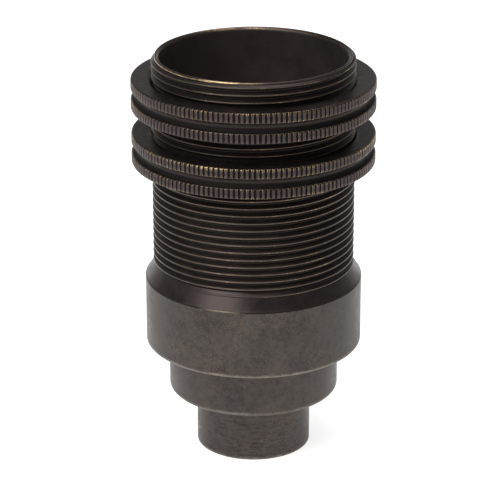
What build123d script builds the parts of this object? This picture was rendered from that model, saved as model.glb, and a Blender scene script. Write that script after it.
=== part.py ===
from build123d import *

import os
from math import cos, pi, radians, sin, tan

# A turned brass lamp holder for a screw-cap lamp, with two knurled shade rings on its threaded skirt.
# It stands on the end of its neck: origin at the centre of that face, +Z up towards the lamp.
# Sizes are in millimetres. Radii are worked out from the lamp thread outwards, heights from the neck upwards.

# Lamp thread: a rolled sheet shell with a round thread, as a 27 mm lamp cap needs
LAMP_CREST_RADIUS = 12.25
LAMP_THREAD_DEPTH = 1.1
LAMP_PITCH = 3.629
LAMP_TURNS = 5
SHELL_SHEET = 0.35
SHELL_FLOOR_HOLE_RADIUS = 9.4
SHELL_PLAIN_LIP = 2.6

# Ceramic insert: a cup round the shell, on a base that holds the terminals
CUP_WALL = 3.45
CUP_FLOOR = 5.4
CUP_RIM_ABOVE_SHELL = 1.4
CERAMIC_EDGE = 0.7
BASE_ABOVE_FLANGE = 9.4
BASE_SPIGOT_DROP = 3.8
FLANGE_HEIGHT = 3.8
FLANGE_NOTCH_CLEARANCE = 0.25

# Threaded skirt
SKIRT_WALL = 0.65
SKIRT_PITCH = 1.5
SKIRT_THREAD_DEPTH = 0.85
SKIRT_CREST_FLAT = 0.19
SKIRT_BARREL_LENGTH = 41.6
SKIRT_CONE_HEIGHT = 3.8
MOUTH_CHAMFER_OUT = 0.65
MOUTH_CHAMFER_IN = 0.35
THREAD_FLANK_ANGLE = 30.0
JOINT_PITCH = 1.0
JOINT_THREAD_DEPTH = 0.5
JOINT_CREST_FLAT = 0.2
JOINT_LENGTH = 6.6
JOINT_WALL = 0.7

# Stepped cap
CAP_WALL = 1.33
CAP_BODY_HEIGHT = 13.8
CAP_LEDGE_THICKNESS = 2.4
LEDGE_WIDTH = 4.4
STEP_WALL = 2.2
STEP_HEIGHT = 10.4
STEP_FLOOR = 2.4
STEP_EDGE_FILLET = 0.75
BODY_EDGE_CHAMFER = 0.35
NECK_WALL = 6.9
NECK_HEIGHT = 12.0
NECK_EDGE_CHAMFER = 0.2
ENTRY_THREAD_RADIUS = 4.5

# Shade rings: two knurled beads with a cove between them
RING_OVERHANG = 4.0
RING_BEAD_HEIGHT = 2.0
RING_COVE_HEIGHT = 2.0
RING_COVE_DEPTH = 1.1
RING_KNURL_COUNT = 150
RING_KNURL_DEPTH = 0.32
RING_KNURL_GROOVE_SHARE = 0.5
RING_CHAMFER = 0.35
RING_THREAD_DEPTH = 0.6
RINGS_APART = 4.9
UPPER_RING_BELOW_MOUTH = 4.5

# Fibre washer between the flange and the skirt
WASHER_THICKNESS = 1.0
WASHER_WIDTH = 1.7

# Contacts and terminals
LEAF_THICKNESS = 0.45
LEAF_WIDTH = 5.0
LEAF_RISE = 3.3
LEAF_FOOT_REACH = 7.0
LEAF_FOOT_LENGTH = 3.2
LEAF_RAMP_LENGTH = 2.4
LEAF_TIP_REACH = 2.6
BUTTON_RADIUS = 2.0
BUTTON_HEAD_HEIGHT = 1.1
BUTTON_EDGE_FILLET = 0.8
BUTTON_SHANK_RADIUS = 0.9
BUTTON_TAIL = 0.35
RIVET_RADIUS = 1.0
RIVET_HEAD_RADIUS = 1.45
RIVET_HEAD_HEIGHT = 0.7
RIVET_EDGE_DISTANCE = 1.6
SHELL_RIVET_ANGLES = (0.0, 120.0, 240.0)
TERMINAL_WIDTH = 7.4
TERMINAL_DEPTH = 5.4
TERMINAL_HEIGHT = 8.0
TERMINAL_TAB = 1.1
TERMINAL_POCKET_WALL = 3.3
WIRE_HOLE_RADIUS = 1.5
WIRE_HOLE_ROOF = 0.6
CLAMP_SCREW_RADIUS = 1.3
CLAMP_SCREW_HEAD_RADIUS = 2.1
CLAMP_SCREW_HEAD_HEIGHT = 1.6
CLAMP_SCREW_STAND_OFF = 0.6

# Screws, nuts and pins
CERAMIC_SCREW_RADIUS = 1.5
CERAMIC_SCREW_HEAD_RADIUS = 2.6
CERAMIC_SCREW_HEAD_HEIGHT = 1.7
CERAMIC_SCREW_ANGLES = (60.0, -60.0)
NUT_ACROSS_FLATS = 5.0
NUT_HEIGHT = 2.2
EARTH_SCREW_RADIUS = 1.6
EARTH_SCREW_HEAD_RADIUS = 2.7
EARTH_SCREW_HEAD_HEIGHT = 1.8
EARTH_SCREW_LENGTH = 6.0
EARTH_WASHER_RADIUS = 3.1
EARTH_WASHER_THICKNESS = 0.6
EARTH_WASHER_FROM_ENTRY = 1.0
LOCK_SCREW_RADIUS = 1.5
LOCK_SCREW_SOCKET_ACROSS = 1.5
LOCK_SCREW_SOCKET_DEPTH = 1.8
LOCK_SCREW_HEIGHT = 6.0
LOCK_SCREW_BACK_OFF = 0.5
KEY_PIN_RADIUS = 1.0
KEY_PIN_STANDS = 1.8
KEY_PIN_PRESSED = 1.8
SLOT_WIDTH = 0.8
SLOT_DEPTH = 0.7

# Clearances
THREAD_CLEARANCE = 0.06
SEAT_GAP = 0.02
FIT_CLEARANCE = 0.05
CERAMIC_CLEARANCE = 0.3
SHELL_CLEARANCE = 0.4
INSERT_CLEARANCE = 0.9

# Radii, from the lamp thread outwards
shell_middle_radius = LAMP_CREST_RADIUS + LAMP_THREAD_DEPTH / 2
shell_outer_radius = LAMP_CREST_RADIUS + LAMP_THREAD_DEPTH + SHELL_SHEET
cup_bore_radius = shell_outer_radius + SHELL_CLEARANCE
cup_radius = cup_bore_radius + CUP_WALL
skirt_bore_radius = cup_radius + INSERT_CLEARANCE
skirt_root_radius = skirt_bore_radius + SKIRT_WALL
skirt_crest_radius = skirt_root_radius + SKIRT_THREAD_DEPTH
joint_root_radius = skirt_bore_radius + JOINT_WALL
joint_crest_radius = joint_root_radius + JOINT_THREAD_DEPTH
cap_thread_crest_radius = joint_crest_radius + THREAD_CLEARANCE
cap_thread_root_radius = cap_thread_crest_radius + JOINT_THREAD_DEPTH
body_radius = cap_thread_root_radius + CAP_WALL
washer_radius = joint_crest_radius - JOINT_THREAD_DEPTH
flange_radius = washer_radius
base_radius = washer_radius - WASHER_WIDTH - CERAMIC_CLEARANCE
ring_bore_crest_radius = skirt_crest_radius + THREAD_CLEARANCE
ring_radius = skirt_crest_radius + RING_OVERHANG
rivet_circle_radius = (SHELL_FLOOR_HOLE_RADIUS + shell_middle_radius) / 2
chamber_radius = flange_radius - LEDGE_WIDTH
step_radius = chamber_radius + STEP_WALL
neck_radius = ENTRY_THREAD_RADIUS + NECK_WALL

# Heights, from the neck's face upwards
step_bottom = NECK_HEIGHT
chamber_floor = step_bottom + STEP_FLOOR
body_bottom = step_bottom + STEP_HEIGHT
ledge = body_bottom + CAP_LEDGE_THICKNESS
cap_top = body_bottom + CAP_BODY_HEIGHT
flange_bottom = ledge + SEAT_GAP
flange_top = flange_bottom + FLANGE_HEIGHT
washer_bottom = flange_top + SEAT_GAP
washer_top = washer_bottom + WASHER_THICKNESS
skirt_bottom = max(washer_top + SEAT_GAP, cap_top - JOINT_LENGTH)
skirt_seat = cap_top + SEAT_GAP
cone_top = skirt_seat + SKIRT_CONE_HEIGHT
mouth = cone_top + SKIRT_BARREL_LENGTH
base_bottom = flange_bottom - BASE_SPIGOT_DROP
base_top = flange_top + BASE_ABOVE_FLANGE
cup_bottom = base_top + SEAT_GAP
cup_floor = cup_bottom + CUP_FLOOR
shell_bottom = cup_floor + SEAT_GAP
shell_floor_top = shell_bottom + SHELL_SHEET
shell_top = shell_floor_top + LAMP_TURNS * LAMP_PITCH + SHELL_PLAIN_LIP
cup_top = shell_top + CUP_RIM_ABOVE_SHELL
ring_height = 2 * RING_BEAD_HEIGHT + RING_COVE_HEIGHT
upper_ring_bottom = mouth - UPPER_RING_BELOW_MOUTH - ring_height
lower_ring_bottom = upper_ring_bottom - RINGS_APART - ring_height


def turned(outline):
    """A solid of revolution about Z, from a closed outline of (radius, height) points."""
    return revolve(make_face(Plane.XZ * Polyline(*outline, close=True)), Axis.Z, 360)


def rod(radius, low, high, x=0.0, y=0.0):
    """An upright round bar."""
    return Pos(x, y, (low + high) / 2) * Cylinder(radius, high - low)


def block(x_range, y_range, z_range):
    """A rectangular block between three pairs of limits."""
    ranges = (x_range, y_range, z_range)
    middle = [(low + high) / 2 for low, high in ranges]
    return Pos(*middle) * Box(*[high - low for low, high in ranges])


def on_circle(radius, angle):
    """The x and y of a point at an angle in degrees on a circle about Z."""
    return radius * cos(radians(angle)), radius * sin(radians(angle))


def thread_points(tip, root, low, high, pitch, tip_flat):
    """Thread rings of V section between two heights: (radius, height) points going up.

    tip is the radius of the crests, root that of the grooves, and both ends finish on a crest.
    """
    count = int((high - low - tip_flat) / pitch)
    flank = abs(tip - root) * tan(radians(THREAD_FLANK_ANGLE))
    spare = (high - low - count * pitch - tip_flat) / 2
    points = [(tip, low)]
    for turn in range(count):
        start = low + spare + tip_flat + turn * pitch
        end = start + pitch - tip_flat
        points += [(tip, start), (root, start + flank), (root, end - flank), (tip, end)]
    return points + [(tip, high)]


def stepped_cap():
    """The stepped brass cap: neck, step and body, bored for the entry, the wires and the insert."""
    joint_start = flange_top + SEAT_GAP
    outer = [
        (ENTRY_THREAD_RADIUS, 0),
        (neck_radius - NECK_EDGE_CHAMFER, 0),
        (neck_radius, NECK_EDGE_CHAMFER),
        (neck_radius, step_bottom),
        (step_radius, step_bottom),
        (step_radius, body_bottom),
        (body_radius - BODY_EDGE_CHAMFER, body_bottom),
        (body_radius, body_bottom + BODY_EDGE_CHAMFER),
        (body_radius, cap_top),
    ]
    crest, root = cap_thread_crest_radius, cap_thread_root_radius
    thread = thread_points(crest, root, joint_start, cap_top, JOINT_PITCH, JOINT_CREST_FLAT)
    inner = [
        (cap_thread_crest_radius, ledge),
        (chamber_radius, ledge),
        (chamber_radius, chamber_floor),
        (ENTRY_THREAD_RADIUS, chamber_floor),
    ]
    cap = turned(outer + thread[::-1] + inner)
    round_edges = cap.edges().filter_by(GeomType.CIRCLE)
    cap = fillet(round_edges.group_by(lambda edge: step_edge_distance(edge))[0], STEP_EDGE_FILLET)
    earth_x, earth_y = earth_screw_place()
    earth_low = earth_screw_bottom() - FIT_CLEARANCE
    cap -= rod(EARTH_SCREW_RADIUS + FIT_CLEARANCE, earth_low, chamber_floor, earth_x, earth_y)
    cap -= lock_screw_rod(LOCK_SCREW_RADIUS + FIT_CLEARANCE, 0, neck_radius + 1)
    pin_y = key_pin_offset()
    cap -= rod(KEY_PIN_RADIUS + FIT_CLEARANCE, ledge - KEY_PIN_PRESSED - FIT_CLEARANCE, ledge, 0, pin_y)
    return cap


def step_edge_distance(edge):
    """How far a round edge is from the outer edge at the bottom of the step."""
    return abs(edge.radius - step_radius) + abs(edge.center().Z - step_bottom)


def earth_screw_place():
    """The earth screw stands on the chamber floor in front of the entry, over the neck's wall."""
    return 0.0, -(ENTRY_THREAD_RADIUS + EARTH_WASHER_RADIUS + EARTH_WASHER_FROM_ENTRY)


def earth_screw_bottom():
    """The height of the earth screw's point."""
    return chamber_floor + EARTH_WASHER_THICKNESS - EARTH_SCREW_LENGTH


def key_pin_offset():
    """How far the key pin stands behind the axis: in the middle of the ledge under the flange."""
    return (chamber_radius + flange_radius) / 2


def lock_screw_rod(radius, near, far):
    """A bar along +Y through the back of the neck, where the lock screw goes."""
    return Pos(0, (near + far) / 2, LOCK_SCREW_HEIGHT) * Rot(90, 0, 0) * Cylinder(radius, far - near)


def slotted_head(radius, low, high, x, y):
    """A round screw head with a driver slot across its top."""
    return rod(radius, low, high, x, y) - driver_slot(radius, x, y, high - SLOT_DEPTH, high + 1)


def driver_slot(radius, x, y, low, high):
    """The bar that cuts a driver slot across an upright screw's head."""
    across = (x - radius - 1, x + radius + 1)
    return block(across, (y - SLOT_WIDTH / 2, y + SLOT_WIDTH / 2), (low, high))


def entry_lock_screw():
    """A grub screw with a hexagon socket that locks the pipe in the neck."""
    near = ENTRY_THREAD_RADIUS + LOCK_SCREW_BACK_OFF
    far = neck_radius - LOCK_SCREW_BACK_OFF
    screw = lock_screw_rod(LOCK_SCREW_RADIUS, near, far)
    mouth_plane = Plane(origin=(0, far, LOCK_SCREW_HEIGHT), z_dir=(0, 1, 0))
    hexagon = RegularPolygon(LOCK_SCREW_SOCKET_ACROSS / 2, 6, major_radius=False)
    return screw - extrude(mouth_plane * hexagon, -LOCK_SCREW_SOCKET_DEPTH)


def earth_screw():
    """A slotted cheese-head screw for the earth wire."""
    x, y = earth_screw_place()
    head_bottom = chamber_floor + EARTH_WASHER_THICKNESS + 2 * SEAT_GAP
    head_top = head_bottom + EARTH_SCREW_HEAD_HEIGHT
    shank = rod(EARTH_SCREW_RADIUS, earth_screw_bottom(), head_bottom, x, y)
    return shank + slotted_head(EARTH_SCREW_HEAD_RADIUS, head_bottom, head_top, x, y)


def earth_washer():
    """The plain washer under the earth screw's head."""
    x, y = earth_screw_place()
    low = chamber_floor + SEAT_GAP
    high = low + EARTH_WASHER_THICKNESS
    hole_radius = EARTH_SCREW_RADIUS + FIT_CLEARANCE
    return rod(EARTH_WASHER_RADIUS, low, high, x, y) - rod(hole_radius, low, high, x, y)


def locating_pin():
    """The pin pressed into the ledge that stops the insert turning."""
    return rod(KEY_PIN_RADIUS, ledge - KEY_PIN_PRESSED, ledge + KEY_PIN_STANDS, 0, key_pin_offset())


def terminal_far_side():
    """How far from the axis a terminal block reaches."""
    return base_radius - TERMINAL_POCKET_WALL


def terminal_middle():
    """How far from the axis the middle of a terminal block is."""
    return terminal_far_side() - TERMINAL_DEPTH / 2


def terminal_low():
    """The height of the underside of a terminal block."""
    return base_top - TERMINAL_HEIGHT


def clamp_screw_height():
    """The height of the clamp screws' axes."""
    return base_top - TERMINAL_TAB - (TERMINAL_HEIGHT - TERMINAL_TAB) / 2


def tab_reach(side):
    """How near the axis a terminal's tab comes: under its rivet and a little past it."""
    rivet = -centre_rivet_x() if side < 0 else rivet_circle_radius
    return min(rivet - RIVET_EDGE_DISTANCE, terminal_middle() - TERMINAL_DEPTH / 2)


def centre_rivet_x():
    """Where the contact leaf is riveted down, in the middle of its foot."""
    return -(LEAF_FOOT_REACH - LEAF_FOOT_LENGTH / 2)


def mirrored_range(side, near, far):
    """The x limits of something that reaches from near to far on one side of the axis."""
    return (near, far) if side > 0 else (-far, -near)


def clamp_screw_bar(side, radius, near, far):
    """A bar along X through a terminal's clamp hole."""
    low, high = mirrored_range(side, near, far)
    return Pos((low + high) / 2, 0, clamp_screw_height()) * Rot(0, 90, 0) * Cylinder(radius, high - low)


def terminal_pocket(side):
    """The hollow in the base that a terminal block sits in, with its wire hole and driver hole."""
    near = tab_reach(side) - CERAMIC_CLEARANCE
    far = terminal_far_side() + CERAMIC_CLEARANCE
    half_width = TERMINAL_WIDTH / 2 + CERAMIC_CLEARANCE
    low = terminal_low() - CERAMIC_CLEARANCE
    pocket = block(mirrored_range(side, near, far), (-half_width, half_width), (low, base_top + 1))
    wire_radius = WIRE_HOLE_RADIUS + CERAMIC_CLEARANCE
    wire_hole = rod(wire_radius, base_bottom - 1, low + 1, side * terminal_middle(), 0)
    head_room = CLAMP_SCREW_HEAD_RADIUS + CERAMIC_CLEARANCE
    driver_hole = clamp_screw_bar(side, head_room, terminal_middle(), flange_radius + 1)
    return pocket + wire_hole + driver_hole


def ceramic_base():
    """The terminal block of the insert: a spigot in the chamber, a flange on the ledge, a boss above."""
    spigot_radius = chamber_radius - CERAMIC_CLEARANCE
    base = turned(
        [
            (0, base_bottom),
            (spigot_radius - CERAMIC_EDGE, base_bottom),
            (spigot_radius, base_bottom + CERAMIC_EDGE),
            (spigot_radius, flange_bottom),
            (flange_radius, flange_bottom),
            (flange_radius, flange_top),
            (base_radius, flange_top),
            (base_radius, base_top),
            (0, base_top),
        ]
    )
    for side in (-1, 1):
        base -= terminal_pocket(side)
    notch = KEY_PIN_RADIUS + FLANGE_NOTCH_CLEARANCE
    notch_top = ledge + KEY_PIN_STANDS + FLANGE_NOTCH_CLEARANCE
    base -= block((-notch, notch), (key_pin_offset() - notch, flange_radius + 1), (ledge - 1, notch_top))
    for angle in CERAMIC_SCREW_ANGLES:
        x, y = on_circle(rivet_circle_radius, angle)
        base -= rod(CERAMIC_SCREW_RADIUS + CERAMIC_CLEARANCE, base_bottom - 1, base_top + 1, x, y)
        head_room = CERAMIC_SCREW_HEAD_RADIUS + CERAMIC_CLEARANCE
        base -= rod(head_room, base_bottom - 1, ceramic_screw_seat(), x, y)
    rivet_low = base_top - RIVET_HEAD_HEIGHT - CERAMIC_CLEARANCE
    for angle in SHELL_RIVET_ANGLES[1:]:
        x, y = on_circle(rivet_circle_radius, angle)
        base -= rod(RIVET_HEAD_RADIUS + CERAMIC_CLEARANCE, rivet_low, base_top + 1, x, y)
    return base


def ceramic_screw_seat():
    """The height of the shoulder that the ceramic screws' heads pull against."""
    return base_bottom + CERAMIC_SCREW_HEAD_HEIGHT + CERAMIC_CLEARANCE


def nut_bottom():
    """The height of the nuts' undersides, in pockets that open into the cup."""
    return cup_floor - NUT_HEIGHT - FIT_CLEARANCE


def ceramic_socket():
    """The glazed cup round the lamp thread, with its rivet holes and nut pockets."""
    cup = turned(
        [
            (0, cup_bottom),
            (cup_radius - CERAMIC_EDGE, cup_bottom),
            (cup_radius, cup_bottom + CERAMIC_EDGE),
            (cup_radius, cup_top - CERAMIC_EDGE),
            (cup_radius - CERAMIC_EDGE, cup_top),
            (cup_bore_radius + CERAMIC_EDGE, cup_top),
            (cup_bore_radius, cup_top - CERAMIC_EDGE),
            (cup_bore_radius, cup_floor),
            (0, cup_floor),
        ]
    )
    rivet_places = [on_circle(rivet_circle_radius, angle) for angle in SHELL_RIVET_ANGLES]
    for x, y in [*rivet_places, (centre_rivet_x(), 0)]:
        cup -= rod(RIVET_RADIUS + FIT_CLEARANCE, cup_bottom - 1, cup_floor + 1, x, y)
    for angle in CERAMIC_SCREW_ANGLES:
        x, y = on_circle(rivet_circle_radius, angle)
        cup -= rod(CERAMIC_SCREW_RADIUS + CERAMIC_CLEARANCE, cup_bottom - 1, cup_floor + 1, x, y)
        hexagon = RegularPolygon(NUT_ACROSS_FLATS / 2 + FIT_CLEARANCE, 6, major_radius=False)
        cup -= extrude(Pos(x, y, nut_bottom() - SEAT_GAP) * hexagon, NUT_HEIGHT + 1)
    return cup


def ceramic_screws():
    """Two slotted screws, put in from below, that hold the cup on the base."""
    screws = []
    for angle in CERAMIC_SCREW_ANGLES:
        x, y = on_circle(rivet_circle_radius, angle)
        seat = ceramic_screw_seat() - SEAT_GAP
        head_bottom = seat - CERAMIC_SCREW_HEAD_HEIGHT
        slot = driver_slot(CERAMIC_SCREW_HEAD_RADIUS, x, y, head_bottom - 1, head_bottom + SLOT_DEPTH)
        head = rod(CERAMIC_SCREW_HEAD_RADIUS, head_bottom, seat, x, y) - slot
        screws.append(head + rod(CERAMIC_SCREW_RADIUS, seat, nut_bottom() + NUT_HEIGHT - FIT_CLEARANCE, x, y))
    return Compound(children=screws)


def ceramic_nuts():
    """The two hexagon nuts in the floor of the cup."""
    nuts = []
    for angle in CERAMIC_SCREW_ANGLES:
        x, y = on_circle(rivet_circle_radius, angle)
        hexagon = RegularPolygon(NUT_ACROSS_FLATS / 2, 6, major_radius=False)
        nut = extrude(Pos(x, y, nut_bottom()) * hexagon, NUT_HEIGHT)
        nuts.append(nut - rod(CERAMIC_SCREW_RADIUS + FIT_CLEARANCE, nut_bottom() - 1, cup_floor + 1, x, y))
    return Compound(children=nuts)


def fibre_washer():
    """The red fibre ring that the skirt presses down on the insert's flange."""
    inner = washer_radius - WASHER_WIDTH
    return rod(washer_radius, washer_bottom, washer_top) - rod(inner, washer_bottom - 1, washer_top + 1)


def shell_wave(shift):
    """The round thread's section, from the floor upwards, moved outwards by shift."""
    edges = []
    middle = shell_middle_radius + shift
    for half in range(2 * LAMP_TURNS):
        low = shell_floor_top + half * LAMP_PITCH / 2
        bulge = LAMP_THREAD_DEPTH / 2 if half % 2 == 0 else -LAMP_THREAD_DEPTH / 2
        edges.append(
            Edge.make_three_point_arc(
                (middle, 0, low), (middle + bulge, 0, low + LAMP_PITCH / 4), (middle, 0, low + LAMP_PITCH / 2)
            )
        )
    return edges


def screw_shell():
    """The rolled brass shell that the lamp screws into, with its riveted floor."""
    wave_top = shell_floor_top + LAMP_TURNS * LAMP_PITCH
    inner_radius = shell_middle_radius
    outer_radius = shell_middle_radius + SHELL_SHEET
    corners = [
        ((inner_radius, wave_top), (inner_radius, shell_top)),
        ((inner_radius, shell_top), (outer_radius, shell_top)),
        ((outer_radius, shell_top), (outer_radius, wave_top)),
        ((outer_radius, shell_floor_top), (outer_radius, shell_bottom)),
        ((outer_radius, shell_bottom), (SHELL_FLOOR_HOLE_RADIUS, shell_bottom)),
        ((SHELL_FLOOR_HOLE_RADIUS, shell_bottom), (SHELL_FLOOR_HOLE_RADIUS, shell_floor_top)),
        ((SHELL_FLOOR_HOLE_RADIUS, shell_floor_top), (inner_radius, shell_floor_top)),
    ]
    lines = [Edge.make_line((a, 0, b), (c, 0, d)) for (a, b), (c, d) in corners]
    section = Face(Wire(shell_wave(0) + shell_wave(SHELL_SHEET) + lines))
    shell = revolve(section, Axis.Z, 360)
    for angle in SHELL_RIVET_ANGLES:
        x, y = on_circle(rivet_circle_radius, angle)
        shell -= rod(RIVET_RADIUS + FIT_CLEARANCE, shell_bottom - 1, shell_floor_top + 1, x, y)
    return shell


def rivet(x, y, grip_low, grip_high):
    """A rivet with a flat head at each end of its grip."""
    low_head = rod(RIVET_HEAD_RADIUS, grip_low - RIVET_HEAD_HEIGHT, grip_low, x, y)
    high_head = rod(RIVET_HEAD_RADIUS, grip_high, grip_high + RIVET_HEAD_HEIGHT, x, y)
    return low_head + rod(RIVET_RADIUS, grip_low, grip_high, x, y) + high_head


def shell_rivets():
    """Three rivets that hold the shell on the cup; the first also holds the neutral terminal's tab."""
    top = shell_floor_top + SEAT_GAP
    rivets = []
    for angle in SHELL_RIVET_ANGLES:
        tab = TERMINAL_TAB if angle == SHELL_RIVET_ANGLES[0] else 0.0
        rivets.append(rivet(*on_circle(rivet_circle_radius, angle), base_top - tab - SEAT_GAP, top))
    return Compound(children=rivets)


def centre_contact_rivet():
    """The rivet that holds the contact leaf above the cup's floor and the live terminal's tab below it."""
    top = cup_floor + LEAF_THICKNESS + 2 * SEAT_GAP
    return rivet(centre_rivet_x(), 0, base_top - TERMINAL_TAB - SEAT_GAP, top)


def terminal(side):
    """A brass terminal: a block with a wire hole and a clamp-screw hole, and a tab under its rivet."""
    far = terminal_far_side()
    half = TERMINAL_WIDTH / 2
    tab_low = base_top - TERMINAL_TAB
    body = block(mirrored_range(side, far - TERMINAL_DEPTH, far), (-half, half), (terminal_low(), base_top))
    tab = block(mirrored_range(side, tab_reach(side), far), (-half, half), (tab_low, base_top))
    rivet_x = centre_rivet_x() if side < 0 else rivet_circle_radius
    wire_top = tab_low - WIRE_HOLE_ROOF
    made = body + tab
    if side > 0:
        made -= rod(RIVET_HEAD_RADIUS + CERAMIC_CLEARANCE, terminal_low() - 1, tab_low, rivet_x, 0)
    made -= rod(RIVET_RADIUS + FIT_CLEARANCE, tab_low - 1, base_top + 1, rivet_x, 0)
    made -= rod(WIRE_HOLE_RADIUS, terminal_low() - 1, wire_top, side * terminal_middle(), 0)
    made -= clamp_screw_bar(side, CLAMP_SCREW_RADIUS + FIT_CLEARANCE, terminal_middle(), far + 1)
    return made


def live_terminal():
    """The terminal under the centre contact."""
    return terminal(-1)


def neutral_terminal():
    """The terminal under the shell."""
    return terminal(1)


def terminal_screws():
    """The two slotted clamp screws, screwed in from the sides of the base."""
    screws = []
    for side in (-1, 1):
        head_near = terminal_far_side() + CLAMP_SCREW_STAND_OFF
        head_far = head_near + CLAMP_SCREW_HEAD_HEIGHT
        shank = clamp_screw_bar(side, CLAMP_SCREW_RADIUS, terminal_middle() + WIRE_HOLE_RADIUS / 2, head_near)
        head = clamp_screw_bar(side, CLAMP_SCREW_HEAD_RADIUS, head_near, head_far)
        height = clamp_screw_height()
        head -= block(
            mirrored_range(side, head_far - SLOT_DEPTH, head_far + 1),
            (-SLOT_WIDTH / 2, SLOT_WIDTH / 2),
            (height - CLAMP_SCREW_HEAD_RADIUS - 1, height + CLAMP_SCREW_HEAD_RADIUS + 1),
        )
        screws.append(shank + head)
    return Compound(children=screws)


def centre_contact_leaf():
    """The springy bronze strip that holds the centre contact up: foot, ramp and level tip."""
    low = cup_floor + SEAT_GAP
    ramp_start = -LEAF_FOOT_REACH + LEAF_FOOT_LENGTH
    ramp_end = ramp_start + LEAF_RAMP_LENGTH
    under = [
        (-LEAF_FOOT_REACH, low),
        (ramp_start, low),
        (ramp_end, low + LEAF_RISE),
        (LEAF_TIP_REACH, low + LEAF_RISE),
    ]
    over = [(x, z + LEAF_THICKNESS) for x, z in under]
    over[1] = (ramp_start - LEAF_THICKNESS / 2, low + LEAF_THICKNESS)
    over[2] = (ramp_end - LEAF_THICKNESS / 2, low + LEAF_RISE + LEAF_THICKNESS)
    section = make_face(Plane.XZ * Polyline(*under, *over[::-1], close=True))
    leaf = extrude(section, LEAF_WIDTH / 2, both=True)
    leaf -= rod(RIVET_RADIUS + FIT_CLEARANCE, low - 1, low + 1, centre_rivet_x(), 0)
    leaf -= rod(BUTTON_SHANK_RADIUS + FIT_CLEARANCE, low + LEAF_RISE - 1, low + LEAF_RISE + 1)
    return leaf


def centre_contact_button():
    """The rounded button at the leaf's tip that touches the lamp's centre contact."""
    seat = cup_floor + LEAF_RISE + LEAF_THICKNESS + 2 * SEAT_GAP
    tail = seat - LEAF_THICKNESS - SEAT_GAP - BUTTON_TAIL
    head = rod(BUTTON_RADIUS, seat, seat + BUTTON_HEAD_HEIGHT)
    head = fillet(head.edges().sort_by(Axis.Z)[-1], BUTTON_EDGE_FILLET)
    return head + rod(BUTTON_SHANK_RADIUS, tail, seat)


def threaded_skirt():
    """The threaded skirt: a joint thread in the cap, a cone over the cap's rim, and the shade-ring barrel."""
    joint_end = skirt_seat - JOINT_PITCH
    crest, root = joint_crest_radius, joint_root_radius
    joint = thread_points(crest, root, skirt_bottom, joint_end, JOINT_PITCH, JOINT_CREST_FLAT)
    barrel_low = cone_top + SKIRT_PITCH / 2
    barrel_high = mouth - MOUTH_CHAMFER_OUT
    crest, root = skirt_crest_radius, skirt_root_radius
    barrel = thread_points(crest, root, barrel_low, barrel_high, SKIRT_PITCH, SKIRT_CREST_FLAT)
    outline = [(skirt_bore_radius, skirt_bottom), *joint]
    outline += [
        (joint_root_radius, joint_end),
        (joint_root_radius, skirt_seat),
        (body_radius, skirt_seat),
        (skirt_root_radius, cone_top),
        (skirt_root_radius, barrel_low),
        *barrel,
        (skirt_crest_radius - MOUTH_CHAMFER_OUT, mouth),
        (skirt_bore_radius + MOUTH_CHAMFER_IN, mouth),
        (skirt_bore_radius, mouth - MOUTH_CHAMFER_IN),
    ]
    return turned(outline)


def knurled_disc(low, high):
    """A disc with straight knurling round its rim: flat-topped teeth between V grooves."""
    step = 2 * pi / RING_KNURL_COUNT
    groove = step * RING_KNURL_GROOVE_SHARE
    points = []
    for tooth in range(RING_KNURL_COUNT):
        start = tooth * step
        groove_middle = start + step - groove / 2
        for angle in (start, start + step - groove):
            points.append((ring_radius * cos(angle), ring_radius * sin(angle)))
        root = ring_radius - RING_KNURL_DEPTH
        points.append((root * cos(groove_middle), root * sin(groove_middle)))
    return extrude(Pos(0, 0, low) * make_face(Polyline(*points, close=True)), high - low)


def shade_ring(bottom):
    """A shade ring: two knurled beads, a cove between them and a threaded bore."""
    top = bottom + ring_height
    cove_low = bottom + RING_BEAD_HEIGHT
    cove_high = top - RING_BEAD_HEIGHT
    crest, root = ring_bore_crest_radius, ring_bore_crest_radius + RING_THREAD_DEPTH
    bore_low, bore_high = bottom + RING_CHAMFER, top - RING_CHAMFER
    bore = thread_points(crest, root, bore_low, bore_high, SKIRT_PITCH, SKIRT_CREST_FLAT)
    chamfered = ring_bore_crest_radius + RING_CHAMFER
    outer_edge = ring_radius - RING_CHAMFER
    cove_bottom = (ring_radius - RING_COVE_DEPTH, 0, (cove_low + cove_high) / 2)
    cove = Edge.make_three_point_arc((outer_edge, 0, cove_low), cove_bottom, (outer_edge, 0, cove_high))
    corners = [(outer_edge, cove_high), (ring_radius, cove_high + RING_CHAMFER)]
    corners += [(ring_radius, top - RING_CHAMFER), (outer_edge, top), (chamfered, top)]
    corners += bore[::-1]
    corners += [(chamfered, bottom), (outer_edge, bottom), (ring_radius, bottom + RING_CHAMFER)]
    corners += [(ring_radius, cove_low - RING_CHAMFER), (outer_edge, cove_low)]
    lines = [Edge.make_line((a, 0, b), (c, 0, d)) for (a, b), (c, d) in zip(corners, corners[1:])]
    ring = revolve(Face(Wire([cove, *lines])), Axis.Z, 360)
    cutter = rod(ring_radius + 1, bottom, top) - knurled_disc(bottom, top)
    return ring - cutter


def upper_shade_ring():
    """The ring nearer the mouth."""
    return shade_ring(upper_ring_bottom)


def lower_shade_ring():
    """The ring nearer the cap."""
    return shade_ring(lower_ring_bottom)


PIECES = (
    stepped_cap,
    entry_lock_screw,
    earth_screw,
    earth_washer,
    locating_pin,
    ceramic_base,
    ceramic_socket,
    ceramic_screws,
    ceramic_nuts,
    fibre_washer,
    screw_shell,
    shell_rivets,
    centre_contact_rivet,
    live_terminal,
    neutral_terminal,
    terminal_screws,
    centre_contact_leaf,
    centre_contact_button,
    threaded_skirt,
    upper_shade_ring,
    lower_shade_ring,
)

os.makedirs("parts", exist_ok=True)
for piece in PIECES:
    export_step(piece(), f"parts/{piece.__name__}.step")
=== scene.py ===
from math import atan2, cos, degrees, pi, radians, sin, tau
from random import Random

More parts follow.
